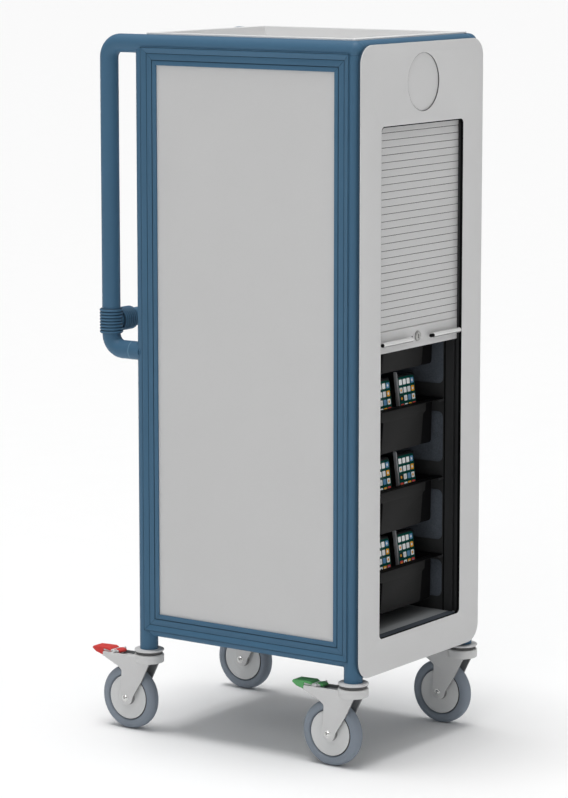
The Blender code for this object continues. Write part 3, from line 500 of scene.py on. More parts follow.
def edge_profile(bottom, top, edge):
    """Inset and height of each ring of a plate whose edges are rounded."""
    if edge == 0:
        return [(0, bottom), (0, top)]
    lower = rounding((edge, bottom), (0, bottom + edge))
    upper = rounding((edge, top), (0, top - edge))
    return lower + upper[::-1]


# Placements

def plane_xz(y):
    """Outline axes on X and Z, heights towards -Y from y."""
    return Matrix(((1, 0, 0, 0), (0, 0, -1, y), (0, 1, 0, 0), (0, 0, 0, 1)))


def plane_yz(x):
    """Outline axes on Y and Z, heights towards +X from x."""
    return Matrix(((0, 0, 1, x), (1, 0, 0, 0), (0, 1, 0, 0), (0, 0, 0, 1)))


def along_x(place):
    """Turning axis along X through a point."""
    return Matrix.Translation(place) @ plane_yz(0)


def along_y(place):
    """Turning axis along Y through a point, heights towards +Y."""
    turn = Matrix(((0, 1, 0, 0), (0, 0, 1, 0), (1, 0, 0, 0), (0, 0, 0, 1)))
    return Matrix.Translation(place) @ turn


def along_z(place):
    return Matrix.Translation(place)


# Meshes

def finished(work, placement=Matrix.Identity(4)):
    """Mesh of a bmesh, welded and facing out, set in its place."""
    bmesh.ops.remove_doubles(work, verts=work.verts, dist=WELD)
    bmesh.ops.recalc_face_normals(work, faces=work.faces)
    mesh = bpy.data.meshes.new("shape")
    work.to_mesh(mesh)
    work.free()
    mesh.transform(placement)
    if placement.determinant() < 0:
        mesh.flip_normals()
    return mesh


def skin(work, rings):
    """Faces between rings of points that follow one another."""
    for lower, upper in zip(rings, rings[1:]):
        for index in range(len(lower)):
            after = (index + 1) % len(lower)
            work.faces.new((lower[index], lower[after], upper[after], upper[index]))


def plate(loops, bottom, top, edge, placement=Matrix.Identity(4), hole_edge=None):
    """Flat piece over an outline with holes as further loops, its edges rounded."""
    work = bmesh.new()
    lower_cap = []
    upper_cap = []
    for index, loop in enumerate(loops):
        loop = wound(loop, index == 0)
        soft = edge if index == 0 or hole_edge is None else hole_edge
        rings = []
        for distance, height in edge_profile(bottom, top, soft):
            ring = []
            for point in inset(loop, distance):
                ring.append(work.verts.new((point.x, point.y, height)))
            rings.append(ring)
        skin(work, rings)
        lower_cap.append(rings[0])
        upper_cap.append(rings[-1])
    for cap in (lower_cap, upper_cap):
        outlines = []
        corners = []
        for ring in cap:
            outlines.append([Vector((vertex.co.x, vertex.co.y, 0)) for vertex in ring])
            corners += ring
        for triangle in tessellate_polygon(outlines):
            work.faces.new([corners[index] for index in triangle])
    return finished(work, placement)


def across(outline, start, end, edge):
    """Plate over an outline on Y and Z, from one X to another."""
    return plate([outline], start, end, edge, plane_yz(0))


def loft(rings):
    """Closed skin through rings of points, capped at both ends."""
    work = bmesh.new()
    loops = [[work.verts.new(point) for point in ring] for ring in rings]
    skin(work, loops)
    work.faces.new(loops[0])
    work.faces.new(loops[-1])
    return finished(work)


def bowl(levels):
    """Loft through level boxes: lower corner, upper corner, corner radius and height of each."""
    rings = []
    for lower, upper, radius, height in levels:
        rings.append([(point.x, point.y, height) for point in rounded_box(lower, upper, radius)])
    return loft(rings)


def turned(profile, placement=Matrix.Identity(4), steps=WHEEL_STEPS, closed=False):
    """Profile of (radius, height) points turned about the placement's own axis."""
    work = bmesh.new()
    line = [work.verts.new((radius, 0, height)) for radius, height in profile]
    edges = [work.edges.new(pair) for pair in zip(line, line[1:])]
    if closed:
        edges.append(work.edges.new((line[-1], line[0])))
    bmesh.ops.spin(
        work, geom=line + edges, cent=(0, 0, 0), axis=(0, 0, 1),
        angle=2 * pi, steps=steps, use_merge=True, use_duplicate=False,
    )
    return finished(work, placement)


def tube(path, radius, cyclic=False, resolution=TUBE_RES):
    """Round bar along a path."""
    curve = bpy.data.curves.new("tube", "CURVE")
    curve.dimensions = "3D"
    curve.bevel_depth = radius
    curve.bevel_resolution = resolution
    curve.use_fill_caps = not cyclic
    spline = curve.splines.new("POLY")
    spline.points.add(len(path) - 1)
    spline.use_cyclic_u = cyclic
    for point, place in zip(spline.points, path):
        point.co = (*place, 1)
    holder = bpy.data.objects.new("tube", curve)
    mesh = bpy.data.meshes.new_from_object(holder)
    bpy.data.objects.remove(holder)
    bpy.data.curves.remove(curve)
    work = bmesh.new()
    work.from_mesh(mesh)
    bpy.data.meshes.remove(mesh)
    return finished(work)


def merged(*groups):
    """One mesh of lists of meshes; each list after the first takes the next of the piece's looks."""
    work = bmesh.new()
    for number, group in enumerate(groups):
        for mesh in group:
            for face in mesh.polygons:
                face.material_index += number
            work.from_mesh(mesh)
            bpy.data.meshes.remove(mesh)
    mesh = bpy.data.meshes.new("merged")
    work.to_mesh(mesh)
    work.free()
    return mesh


def linked(name, data):
    """Object put into the scene."""
    made = bpy.data.objects.new(name, data)
    bpy.context.scene.collection.objects.link(made)
    return made


def dressed(name, mesh, looks, smooth=SMOOTH_ANGLE):
    """Mesh with its name, looks and shading."""
    mesh.name = name
    for look in looks:
        mesh.materials.append(LOOKS[look])
    mesh.shade_smooth()
    mesh.set_sharp_from_angle(angle=radians(smooth))
    return mesh


def add(name, mesh, looks, body, replaced=(), smooth=SMOOTH_ANGLE):
    """Named piece with its looks, on a body of the frame, in place of any CAD nodes named."""
    piece = linked(name, dressed(name, mesh, looks, smooth))
    if body:
        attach(piece, body)
    if replaced:
        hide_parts(*replaced)
    return piece


# Looks

def colour(red, green, blue):
    """Linear colour from one on the 0 to 255 display scale."""
    parts = []
    for part in (red, green, blue):
        share = part / 255
        parts.append(share / 12.92 if share <= 0.04045 else ((share + 0.055) / 1.055) ** 2.4)
    return (*parts, 1)


def feed(tree, socket, value):
    """Give an input a value, or another node's output."""
    if isinstance(value, bpy.types.NodeSocket):
        tree.links.new(value, socket)
    else:
        socket.default_value = value


def node(tree, kind, **values):
    """Shader node with its named inputs fed."""
    made = tree.nodes.new("ShaderNode" + kind)
    for name, value in values.items():
        feed(tree, made.inputs[name.replace("_", " ")], value)
    return made


def surface(name, tint, roughness, grain=900, vary=0.05, relief=0.04, metallic=0.0, shine=0.25,
            stretch=(1, 1, 1)):
    """Coated or moulded surface: broad cloudiness in the colour, fine grain in the finish."""
    look = bpy.data.materials.new(name)
    look.use_nodes = True
    tree = look.node_tree
    place = node(tree, "TexCoord").outputs["Object"]
    spread = node(tree, "Mapping", Vector=place, Scale=stretch).outputs["Vector"]
    broad = node(tree, "TexNoise", Vector=spread, Scale=CLOUD_SCALE, Detail=CLOUD_DETAIL).outputs["Fac"]
    fine = node(tree, "TexNoise", Vector=spread, Scale=grain, Detail=GRAIN_DETAIL).outputs["Fac"]
    mixed = node(tree, "Mix", Factor=GRAIN_SHARE, A=broad, B=fine).outputs["Result"]
    shade = node(tree, "ValToRGB", Fac=mixed)
    for stop, position, factor in zip(shade.color_ramp.elements, SHADE_STOPS, (1 - vary, 1 + vary)):
        stop.position = position
        stop.color = [part * factor for part in tint[:3]] + [1]
    smooth = roughness - FINISH_VARY
    finish = node(tree, "MapRange", Value=fine, To_Min=smooth, To_Max=roughness + FINISH_VARY)
    bump = node(tree, "Bump", Strength=relief, Distance=GRAIN_DEEP, Height=fine)
    values = {
        "Metallic": metallic, "Specular IOR Level": shine, "Base Color": shade.outputs["Color"],
        "Roughness": finish.outputs["Result"], "Normal": bump.outputs["Normal"],
    }
    for socket, value in values.items():
        feed(tree, tree.nodes["Principled BSDF"].inputs[socket], value)
    return look


def maths(tree, operation, *values):
    """Arithmetic node on sockets or numbers."""
    made = tree.nodes.new("ShaderNodeMath")
    made.operation = operation
    for socket, value in zip(made.inputs, values):
        feed(tree, socket, value)
    return made.outputs[0]


def cell_paint(tree, cells, layer, tints):
    """One of the tints for each cell of a grid, in no order."""
    spot = node(tree, "CombineXYZ", X=cells[0], Y=cells[1], Z=layer)
    pick = node(tree, "TexWhiteNoise", Vector=spot.outputs["Vector"])
    paints = node(tree, "ValToRGB", Fac=pick.outputs["Value"])
    paints.color_ramp.interpolation = "CONSTANT"
    stops = paints.color_ramp.elements
    for index, tint in enumerate(tints):
        share = index / len(tints)
        stop = stops[index] if index < len(stops) else stops.new(share)
        stop.position = share
        stop.color = colour(*tint)
    return paints.outputs["Color"]


def laid_over(tree, mask, below, above):
    """Colour of one socket where the mask is set, and of another elsewhere."""
    mixed = tree.nodes.new("ShaderNodeMix")
    mixed.data_type = "RGBA"
    feed(tree, mixed.inputs["Factor"], mask)
    feed(tree, mixed.inputs[MIX_BELOW], below)
    feed(tree, mixed.inputs[MIX_ABOVE], above)
    return mixed.outputs[MIX_RESULT]


def within(tree, offsets, radius):
    """Whether a pair of offsets lies in a circle."""
    squares = [maths(tree, "POWER", offset, 2) for offset in offsets]
    return maths(tree, "LESS_THAN", maths(tree, "ADD", *squares), radius ** 2)


def screen_look():
    """Lit phone screen with a grid of plain rounded squares, each with a dot, over a dark ground."""
    look = surface("phone_screen", colour(6, 62, 55), 0.22, grain=40, vary=0.3, relief=0)
    tree = look.node_tree
    shader = tree.nodes["Principled BSDF"]
    ground = shader.inputs["Base Color"].links[0].from_socket
    parts = node(tree, "SeparateXYZ", Vector=node(tree, "TexCoord").outputs["Object"])
    starts = {"X": ICON_SEED, "Z": ICON_SEED + 0.5 - ICON_ROW_Z / ICON_PITCH["Z"]}
    cells = []
    from_middle = []
    past_flat = []
    for axis, pitch in ICON_PITCH.items():
        count = maths(tree, "ADD", maths(tree, "DIVIDE", parts.outputs[axis], pitch), starts[axis])
        cells.append(maths(tree, "FLOOR", count))
        share = maths(tree, "SUBTRACT", maths(tree, "FRACT", count), 0.5)
        offset = maths(tree, "ABSOLUTE", maths(tree, "MULTIPLY", share, pitch))
        from_middle.append(offset)
        beyond = maths(tree, "SUBTRACT", offset, ICON_HALF - ICON_CORNER)
        past_flat.append(maths(tree, "MAXIMUM", beyond, 0.0))
    white = (232, 234, 234)
    pale = (214, 216, 218)
    blue = (92, 138, 176)
    red = (204, 72, 66)
    amber = (226, 162, 52)
    ink = (34, 38, 42)
    tile_tints = [white, blue, pale, white, red, white, ink, white, blue, pale, amber, white]
    dot_tints = [pale, amber, blue, white, red, pale, blue, ink, white, amber]
    tile_paint = cell_paint(tree, cells, 0, tile_tints)
    dot_paint = cell_paint(tree, cells, 1, dot_tints)
    tiled = laid_over(tree, within(tree, past_flat, ICON_CORNER), ground, tile_paint)
    dotted = laid_over(tree, within(tree, from_middle, ICON_DOT), tiled, dot_paint)
    feed(tree, shader.inputs["Base Color"], dotted)
    feed(tree, shader.inputs["Emission Color"], dotted)
    feed(tree, shader.inputs["Emission Strength"], SCREEN_GLOW)
    return look


LOOKS = {
    "paint": surface("blue_powder_coat", colour(68, 106, 134), 0.5, relief=0.06),
    "seam": surface("blue_seam", colour(104, 140, 163), 0.45, relief=0.02),
    # Dark blue of painted shade: hollows between clamp ribs, the snap rails' fine grooves and the sheet
    # behind the front panel
    "painted_shade_blue": surface("blue_painted_shade", colour(42, 67, 86), 0.6, relief=0.02),
    "panel": surface("grey_panel", colour(221, 221, 221), 0.6, vary=0.02, relief=0.05, shine=0.12),
    # Dark grey of painted shade: the ring in the roundel's recess, the hub's groove ring and the bolts'
    # sockets; on the bearing seal it is partly the seal's colour, partly painted shade
    "line": surface("grey_painted_shade", colour(92, 92, 92), 0.6, vary=0.04),
    "tray": surface("pale_tray", colour(228, 228, 228), 0.6, vary=0.015, relief=0.05),
    "poster": surface("grey_poster", colour(209, 209, 209), 0.5, grain=300, vary=0.015, relief=0.02),
    "slat": surface("grey_slat", colour(212, 212, 212), 0.5, grain=500, vary=0.06, stretch=(0.5, 1, 1)),
    # Near black of painted shade in the gaps between the shutter's slats
    "hinge": surface("slat_gap_painted_shade", colour(20, 21, 22), 0.7),
    "black": surface("black_moulding", colour(22, 22, 22), 0.55, vary=0.12, relief=0.08, shine=0.16),
    # Near black: the door seal's, grip caps' and door screw's own colour, and painted shade for the band
    # round the opening, the inner walls' grooves, the trays' shells and rims, and the lock's key slot
    "dark": surface("black_and_painted_shade", colour(12, 12, 13), 0.6, vary=0.15, relief=0.05, shine=0.05),
    "divider": surface("grey_divider", colour(178, 181, 185), 0.5, vary=0.1),
    "wall": surface("black_wall", colour(54, 55, 56), 0.6, vary=0.2, relief=0.1, shine=0.15),
    "base": surface("grey_base", colour(156, 159, 161), 0.6, vary=0.06, relief=0.05, shine=0.15),
    # Lighter textured grey: painted light on the inner walls, and the strip along the sill
    "field": surface("painted_light_field_and_sill", colour(80, 86, 94), 0.75, grain=420, vary=0.5, relief=0.3, shine=0.15),
    "metal": surface("bright_metal", colour(224, 224, 222), 0.24, metallic=0.85, stretch=BRUSHED),
    "bar": surface("brushed_bar", colour(238, 238, 237), 0.25, metallic=0.05, shine=0.7, stretch=BRUSHED),
    "steel": surface("lock_steel", colour(176, 176, 174), 0.28, metallic=0.7),
    "castor": surface("castor_zinc", colour(213, 213, 213), 0.42, metallic=0.1),
    # Mid grey of painted shade: the fork cheeks' edges, the grip bars' undersides and a ring round each
    # hub's boss
    "painted_shade_grey": surface("painted_shade_grey", colour(146, 146, 146), 0.5),
    # Darker grey of painted shade on the inner faces of the fork cheeks
    "painted_shade_inner": surface("painted_shade_inner", colour(112, 114, 116), 0.6),
    "hub": surface("hub_plastic", colour(221, 222, 222), 0.5, vary=0.03),
    "rubber": surface("grey_rubber", colour(138, 147, 158), 0.75, vary=0.06, relief=0.12),
    "red": surface("red_plastic", colour(215, 64, 60), 0.45),
    "green": surface("green_plastic", colour(94, 168, 104), 0.45),
    "phone": surface("phone_case", colour(30, 31, 33), 0.35, relief=0.02),
    "screen": screen_look(),
}


# Frame

def weld(post, along, radius):
    """Bead round the end of a rail that meets a post; along points from the post into the rail."""
    side = along.cross(UP)
    ring = []
    steps = 2 * PIN_STEPS
    for step in range(steps):
        angle = 2 * pi * step / steps
        offset = radius * cos(angle)
        reach = sqrt(max(TUBE_R ** 2 - offset ** 2, 0))
        ring.append(post + along * reach + side * offset + UP * radius * sin(angle))
    return tube(ring, WELD_BEAD, cyclic=True, resolution=WELD_RES)


def welded_rail(start, end):
    """Bottom rail from post to post, with a bead round each end."""
    along = (end - start).normalized()
    return merged([tube([start, end], RAIL_R), weld(start, along, RAIL_R), weld(end, -along, RAIL_R)])


def seam(placement):
    """Dressed joint line round a tube."""
    rise = CLEAR / 2
    profile = [(TUBE_R - rise, -SEAM_WIDE), (TUBE_R + rise, -SEAM_WIDE / 2)]
    profile += [(TUBE_R + rise, SEAM_WIDE / 2), (TUBE_R - rise, SEAM_WIDE)]
    return turned(profile, placement, 2 * WHEEL_STEPS, closed=True)


def round_end(place):
    """Ball that closes a top rail where it meets the hoop's bend."""
    profile = [(point.x, point.y) for point in arc((0, 0), TUBE_R, -90, 90, PIN_STEPS)]
    return turned(profile, along_y(place))


def add_frame():
    for name, y in (("front_hoop", FRONT_Y), ("rear_hoop", REAR_Y)):
        left = [(-POST_X, y, FOOT_Z), (-POST_X, y, TOP_Z)]
        right = [(POST_X, y, TOP_Z), (POST_X, y, FOOT_Z)]
        path = bent(left + right, [0, HOOP_BEND, HOOP_BEND, 0], BEND_STEPS, closed=False)
        add("tube_" + name, tube(path, TUBE_R), ["paint"], "carcass", [name])

    for name, side in SIDES.items():
        x = side * POST_X
        corners = [
            (x, FRONT_Y, TOP_Z), (x, HANDLE_Y, TOP_Z),
            (x, HANDLE_Y, HANDLE_LOW_Z), (x, REAR_Y + TUBE_R / 2, HANDLE_LOW_Z),
        ]
        path = bent(corners, [0, HANDLE_BEND, HANDLE_BEND, 0], BEND_STEPS, closed=False)
        bead = weld(Vector((x, REAR_Y, HANDLE_LOW_Z)), Vector((0, 1, 0)), TUBE_R - CLEAR)
        rail = [tube(path, TUBE_R), round_end((x, FRONT_Y, TOP_Z)), bead]
        joint_line = seam(along_y((x, HANDLE_Y - HANDLE_BEND - SEAM_BACK, HANDLE_LOW_Z)))
        node_name = "handle_rail_" + name
        add("tube_" + node_name, merged(rail, [joint_line]), ["paint", "seam"], "carcass", [node_name])

        rail = welded_rail(Vector((x, FRONT_Y, RAIL_Z)), Vector((x, REAR_Y, RAIL_Z)))
        node_name = "bottom_rail_" + name
        add("tube_" + node_name, rail, ["paint"], "carcass", [node_name])

    rail = welded_rail(Vector((-POST_X, REAR_Y, RAIL_Z)), Vector((POST_X, REAR_Y, RAIL_Z)))
    add("tube_bottom_rail_rear", rail, ["paint"], "carcass", ["bottom_rail_rear"])


def ribbed_sleeve(ribs, start, placement):
    """Sleeve round a tube with rounded ribs one after the other; the hollows between the ribs get painted
    shade.
    """
    root = TUBE_R + SLEEVE_WALL
    profile = [(TUBE_R - CLEAR, start)]
    for rib in range(ribs):
        for step in range(RIB_STEPS + 1):
            share = step / RIB_STEPS
            profile.append((root + RIB_HEIGHT * sin(pi * share), start + (rib + share) * RIB_PITCH))
    profile.append((TUBE_R - CLEAR, start + ribs * RIB_PITCH))
    mesh = turned(profile, steps=SLEEVE_STEPS, closed=True)
    # Faces low in the hollows between ribs get the dark blue: painted shade
    for face in mesh.polygons:
        face.material_index = 1 if face.center.xy.length < root + RIB_HEIGHT / 4 else 0
    mesh.transform(placement)
    return mesh


def add_push_bar():
    run = [(-POST_X, HANDLE_Y, PUSH_BAR_Z), (POST_X, HANDLE_Y, PUSH_BAR_Z)]
    add("tube_push_bar", tube(run, TUBE_R), ["paint"], "carcass", ["push_bar"])
    for name, side in SIDES.items():
        place = (side * POST_X, HANDLE_Y, PUSH_BAR_Z)
        upright = ribbed_sleeve(UPRIGHT_RIBS, -UPRIGHT_RIBS * RIB_PITCH / 2, along_z(place))
        start = TUBE_R if side < 0 else -TUBE_R - CROSS_RIBS * RIB_PITCH
        clamp = merged([upright, ribbed_sleeve(CROSS_RIBS, start, along_x(place))])
        node_name = "push_bar_clamp_" + name
        add("ribbed_" + node_name, clamp, ["paint", "painted_shade_blue"], "carcass", [node_name], smooth=70)


# Panels

def add_front_panel():
    outline = rounded_box((-PANEL_HALF, PANEL_LOW_Z), (PANEL_HALF, PANEL_TOP_Z), PANEL_CORNER, PANEL_STEPS)
    lower = Vector((-OPENING_HALF, OPENING_LOW_Z))
    upper = Vector((OPENING_HALF, OPENING_TOP_Z))
    window = rounded_box(lower, upper, OPENING_CORNER, WIDE_STEPS)
    # A near-black band round the opening, wider at its top: painted shade in the opening's reveal
    side = Vector((SHADE_LINE_SIDE, SHADE_LINE_SIDE))
    inner = rounded_box(lower + side, upper - Vector((SHADE_LINE_SIDE, SHADE_LINE_TOP)), OPENING_CORNER, WIDE_STEPS)
    roundel = circle((0, ROUNDEL_Z), ROUNDEL_R, WHEEL_STEPS)
    placement = plane_xz(PANEL_BACK_Y)
    panel = plate([outline, window, roundel], SHADOW_GASKET, PANEL_THICK, PANEL_EDGE, placement, HOLE_EDGE)
    disc = inset(roundel, -CLEAR)
    # A dark blue sheet behind the panel shows at its outline: painted shadow where the panel meets the
    # frame
    shadow_gasket_holes = [inset(window, -SHADOW_GASKET), inset(disc, -CLEAR)]
    shadow_gasket = plate([inset(outline, CLEAR)] + shadow_gasket_holes, 0, SHADOW_GASKET + CLEAR, 0, placement)
    face = PANEL_THICK - HOLE_EDGE
    painted_shade_trim = plate([inset(window, -CLEAR), inner], 0, face, 0, placement)
    floor = PANEL_THICK - ROUNDEL_DEPTH
    recess = plate([disc], floor - ROUNDEL_DEPTH / 2, floor, 0, placement)
    # A dark grey ring lines the recess's wall: painted shade in the recess
    painted_shade_ring = plate([disc, inset(roundel, ROUNDEL_LINE)], floor - CLEAR, face, 0, placement)
    looks = ["panel", "dark", "line", "painted_shade_blue"]
    add("bezel", merged([panel, recess], [painted_shade_trim], [painted_shade_ring], [shadow_gasket]), looks, "carcass", ["front_panel"])


def add_top_tray():
    lower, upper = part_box("top_tray")
    wall = TRAY_TOP_WALL
    fillet = TRAY_TOP_FILLET
    lip = wall / 3
    under = upper.z - TRAY_TOP_LIP
    over = -TRAY_TOP_OVER
    steps = [
        (fillet, lower.z), (fillet / 4, lower.z + fillet / 4), (0, lower.z + fillet), (0, under),
        (over, under), (over, upper.z - lip), (over + lip, upper.z),
        (wall - lip, upper.z), (wall - lip / 3, upper.z - lip / 3),
        (wall, upper.z - lip), (wall, lower.z + wall + fillet),
        (wall + fillet / 4, lower.z + wall + fillet / 4), (wall + fillet, lower.z + wall),
    ]
    levels = []
    for distance, height in steps:
        radius = max(TRAY_TOP_CORNER - distance / 8, wall)
        corner = Vector((distance, distance))
        levels.append((lower.xy + corner, upper.xy - corner, radius, height))
    add("tray_top", bowl(levels), ["tray"], "carcass", ["top_tray"])


def snap_section():
    """Section of a snap rail: inward from its hinge, and outward from the hinge line."""
    fall = SNAP_EDGE - SNAP_STEP
    groove_end = SNAP_GROOVE_AT + SNAP_GROOVE_WIDE
    groove_floor = fall - SNAP_GROOVE_DEEP
    line = SNAP_SLOPE_END + SNAP_LINE
    line_floor = fall - SNAP_LINE
    lip_end = SNAP_LIP + SNAP_LINE
    sunk = SNAP_EDGE - SNAP_LINE
    corners = [
        (0, 0), (SNAP_SLOPE_END, SNAP_UNDER), (SNAP_WIDTH, SNAP_UNDER), (SNAP_WIDTH, fall),
        (groove_end, fall), (groove_end, groove_floor), (SNAP_GROOVE_AT, groove_floor),
        (SNAP_GROOVE_AT, fall), (line, fall), (line, line_floor), (SNAP_SLOPE_END, line_floor),
        (SNAP_SLOPE_END, fall),
        (SNAP_BAND, SNAP_EDGE), (lip_end, SNAP_EDGE), (lip_end, sunk), (SNAP_LIP, sunk),
        (SNAP_LIP, SNAP_EDGE), (0, SNAP_EDGE),
    ]
    soft = SNAP_LINE / 3
    radii = [0, 0, 0, 2 * soft, soft, 0, 0, soft, soft, 0, 0, soft, 2 * soft, soft, 0, 0, soft, soft]
    return bent(corners, radii, SMALL_STEPS)


def in_snap_groove(place):
    """Whether a point of the section lies in one of its three fine grooves."""
    sunk = SNAP_EDGE - SNAP_STEP - SNAP_LINE / 2
    if SNAP_LIP <= place.x <= SNAP_LIP + SNAP_LINE:
        return SNAP_LINE / 2 < place.y < SNAP_EDGE - SNAP_LINE / 2
    spans = [(SNAP_SLOPE_END, SNAP_LINE), (SNAP_GROOVE_AT, SNAP_GROOVE_WIDE)]
    inside = [start <= place.x <= start + wide for start, wide in spans]
    return any(inside) and SNAP_UNDER / 2 - SNAP_LINE < place.y < sunk


def snap_rail(length, inward, outward, place):
    """Snap rail laid along its hinge, mitred at both ends."""
    mesh = plate([snap_section()], -length / 2, length / 2, 0)
    # Faces inside the fine grooves get the dark blue: painted shade
    for face in mesh.polygons:
        end_cap = abs(face.normal.z) > FACING
        face.material_index = 0 if end_cap or not in_snap_groove(face.center) else 1
    for vertex in mesh.vertices:
        end = 1 if vertex.co.z > 0 else -1
        vertex.co.z -= end * (vertex.co.x + MITRE_SETBACK)
    run = inward.cross(outward)
    placement = Matrix.Translation(place) @ Matrix((inward, outward, run)).transposed().to_4x4()
    mesh.transform(placement)
    return mesh


def add_sides():
    for name, side in SIDES.items():
        node_name = "snap_rail_" + name + "_"
        front = low(node_name + "front").y
        rear = high(node_name + "rear").y
        bottom = low(node_name + "bottom").z
        top = high(node_name + "top").z
        mid_y = (front + rear) / 2
        mid_z = (bottom + top) / 2
        x = side * SNAP_X
        rails = {
            "front": (top - bottom, (0, 1, 0), (x, front, mid_z)),
            "rear": (top - bottom, (0, -1, 0), (x, rear, mid_z)),
            "top": (rear - front, (0, 0, -1), (x, mid_y, top)),
            "bottom": (rear - front, (0, 0, 1), (x, mid_y, bottom)),
        }
        for end, (length, inward, place) in rails.items():
            rail = snap_rail(length, Vector(inward), Vector((side, 0, 0)), Vector(place))
            part = node_name + end
            add("profile_" + part, rail, ["paint", "painted_shade_blue"], part, [part], smooth=30)


# Shutter

def add_curtain():
    """Slatted sheet that hangs between the roll and the door rail."""
    lower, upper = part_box("tambour_curtain")
    front = lower.y
    slats = int((upper.z - lower.z) / SLAT_PITCH)
    pitch = (upper.z - lower.z) / slats
    section = []
    for slat in range(slats):
        bottom = lower.z + slat * pitch + SLAT_GAP
        top = lower.z + (slat + 1) * pitch - SLAT_GAP
        floor = front + SLAT_GROOVE
        shoulder = front + SLAT_ROUND
        section += [(floor, bottom), (shoulder, bottom), (front, bottom + SLAT_ROUND)]
        section += [(front, top - SLAT_ROUND), (shoulder, top), (floor, top)]
    for slat in range(slats, -1, -1):
        section.append((upper.y, lower.z + slat * pitch))
    mesh = across([Vector((y, z, 0)) for y, z in section], -upper.x, upper.x, 0)
    # Faces inside the gaps between slats get near black: painted shade
    for face in mesh.polygons:
        depth = face.center.y - front
        in_gap = abs(face.normal.x) < FACING and SLAT_ROUND < depth < 1.5 * SLAT_GROOVE
        face.material_index = 1 if in_gap else 0
    curtain = add("slatted_curtain", mesh, ["slat", "hinge"], None, ["tambour_curtain"])
    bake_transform(curtain)


def add_door_rail():
    lower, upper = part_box("door_rail")
    placement = plane_xz(upper.y)
    hole = circle((0, LOCK_Z), LOCK_R + CLEAR, 2 * PIN_STEPS)
    rail_half = OPENING_HALF - CLEAR
    outline = rounded_box((-rail_half, lower.z), (rail_half, upper.z), RAIL_CORNER, SMALL_STEPS)
    rail = plate([outline, hole], 0, upper.y - lower.y, RAIL_EDGE, placement)
    tongue = rounded_box((-upper.x, lower.z), (upper.x, upper.z), RAIL_CORNER, SMALL_STEPS)
    core_span = (upper.y - high("tambour_curtain").y, upper.y - low("tambour_curtain").y)
    core = plate([tongue, hole], *core_span, TONGUE_EDGE, placement)
    seal_low = (lower.y + DOOR_SEAL_IN, lower.z)
    seal_top = (upper.y - DOOR_SEAL_IN, lower.z + DOOR_SEAL_TALL)
    seal_outline = rounded_box(seal_low, seal_top, DOOR_SEAL_TALL / 3, TRIM_STEPS)
    seal_half = rail_half - DOOR_SEAL_TALL
    seal = across(seal_outline, -seal_half, seal_half, DOOR_SEAL_EDGE)
    screw_profile = [(SCREW_R * share, SCREW_PROUD * rise) for share, rise in SCREW_DOME]
    screw_place = along_y((-SCREW_X, lower.y + SCREW_PROUD / 2, LOCK_Z))
    screw = turned(screw_profile, screw_place @ Matrix.Rotation(pi, 4, "X"), PIN_STEPS)
    add("door_bar", merged([rail, core], [seal, screw]), ["slat", "dark"], "shutter", ["door_rail"])


def add_grips():
    """Bars to pull the shutter by, each with a dark cap and the web that holds it; each bar's underside has
    painted shade.
    """
    for name in SIDES:
        node_name = "door_grip_" + name
        lower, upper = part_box(node_name)
        z = (lower.z + upper.z) / 2
        bar_y = lower.y + GRIP_R
        axis = along_x((0, bar_y, z))
        start = lower.x + GRIP_CAPS[name]
        end = upper.x
        edge = GRIP_EDGE
        profile = [(0, start), (GRIP_R - edge, start), (GRIP_R, start + edge)]
        profile += [(GRIP_R, end - 2 * edge), (GRIP_R - edge / 2, end - edge / 2)]
        profile += [(GRIP_R - 1.5 * edge, end), (0, end)]
        bar = turned(profile, axis, ROD_STEPS)
        # Faces of the bar that face down get the mid grey: painted shade on its underside
        for face in bar.polygons:
            face.material_index = 2 if face.normal.z < PAINTED_SHADE_BELOW else 0
        cap_r = GRIP_R - edge
        cap_profile = [(0, lower.x), (cap_r - edge, lower.x), (cap_r, lower.x + edge)]
        cap = turned(cap_profile + [(cap_r, start), (0, start)], axis, ROD_STEPS)
        web = rounded_box((bar_y, z - edge), (upper.y, z + edge), edge / 2, TRIM_STEPS)
        web_mesh = across(web, start, end - GRIP_FOOT, 0)
        grip = merged([bar, web_mesh], [cap])
        add("bar_" + node_name, grip, ["bar", "dark", "painted_shade_grey"], "shutter", [node_name])


def add_lock():
    lower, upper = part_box("lock_barrel")
    face = lower.y
    step = LOCK_STEP
    profile = [(LOCK_R * share, face + step * sunk) for share, sunk in LOCK_FACE]
    profile += [(LOCK_R, upper.y - CAM_THICK), (0, upper.y - CAM_THICK)]
    barrel = turned(profile, along_y((0, 0, LOCK_Z)), DISC_STEPS)
    cam_half = CAM_WIDE / 2
    cam_outline = rounded_box((-cam_half, LOCK_Z - cam_half), (cam_half, upper.z), CAM_ROUND, WIDE_STEPS)
    cam = plate([cam_outline], 0, CAM_THICK, CAM_THICK / 6, plane_xz(upper.y))
    # The key slot is a near-black plate on the lock's face: painted shade of the keyway
    key_corner = Vector((KEY_WIDE / 2, KEY_TALL / 2))
    middle_spot = Vector((0, LOCK_Z))
    slot = rounded_box(middle_spot - key_corner, middle_spot + key_corner, KEY_WIDE / 3, SMALL_STEPS)
    key = plate([slot], 0, step / 2, 0, plane_xz(face + 1.2 * step))
    add("cylinder_lock", merged([barrel, cam], [key]), ["steel", "dark"], "lock", ["lock_barrel"])


# Trays and phones

def tray_body(index):
    return "tray_" + str(index) if index <= SLIDING_TRAYS else "carcass"


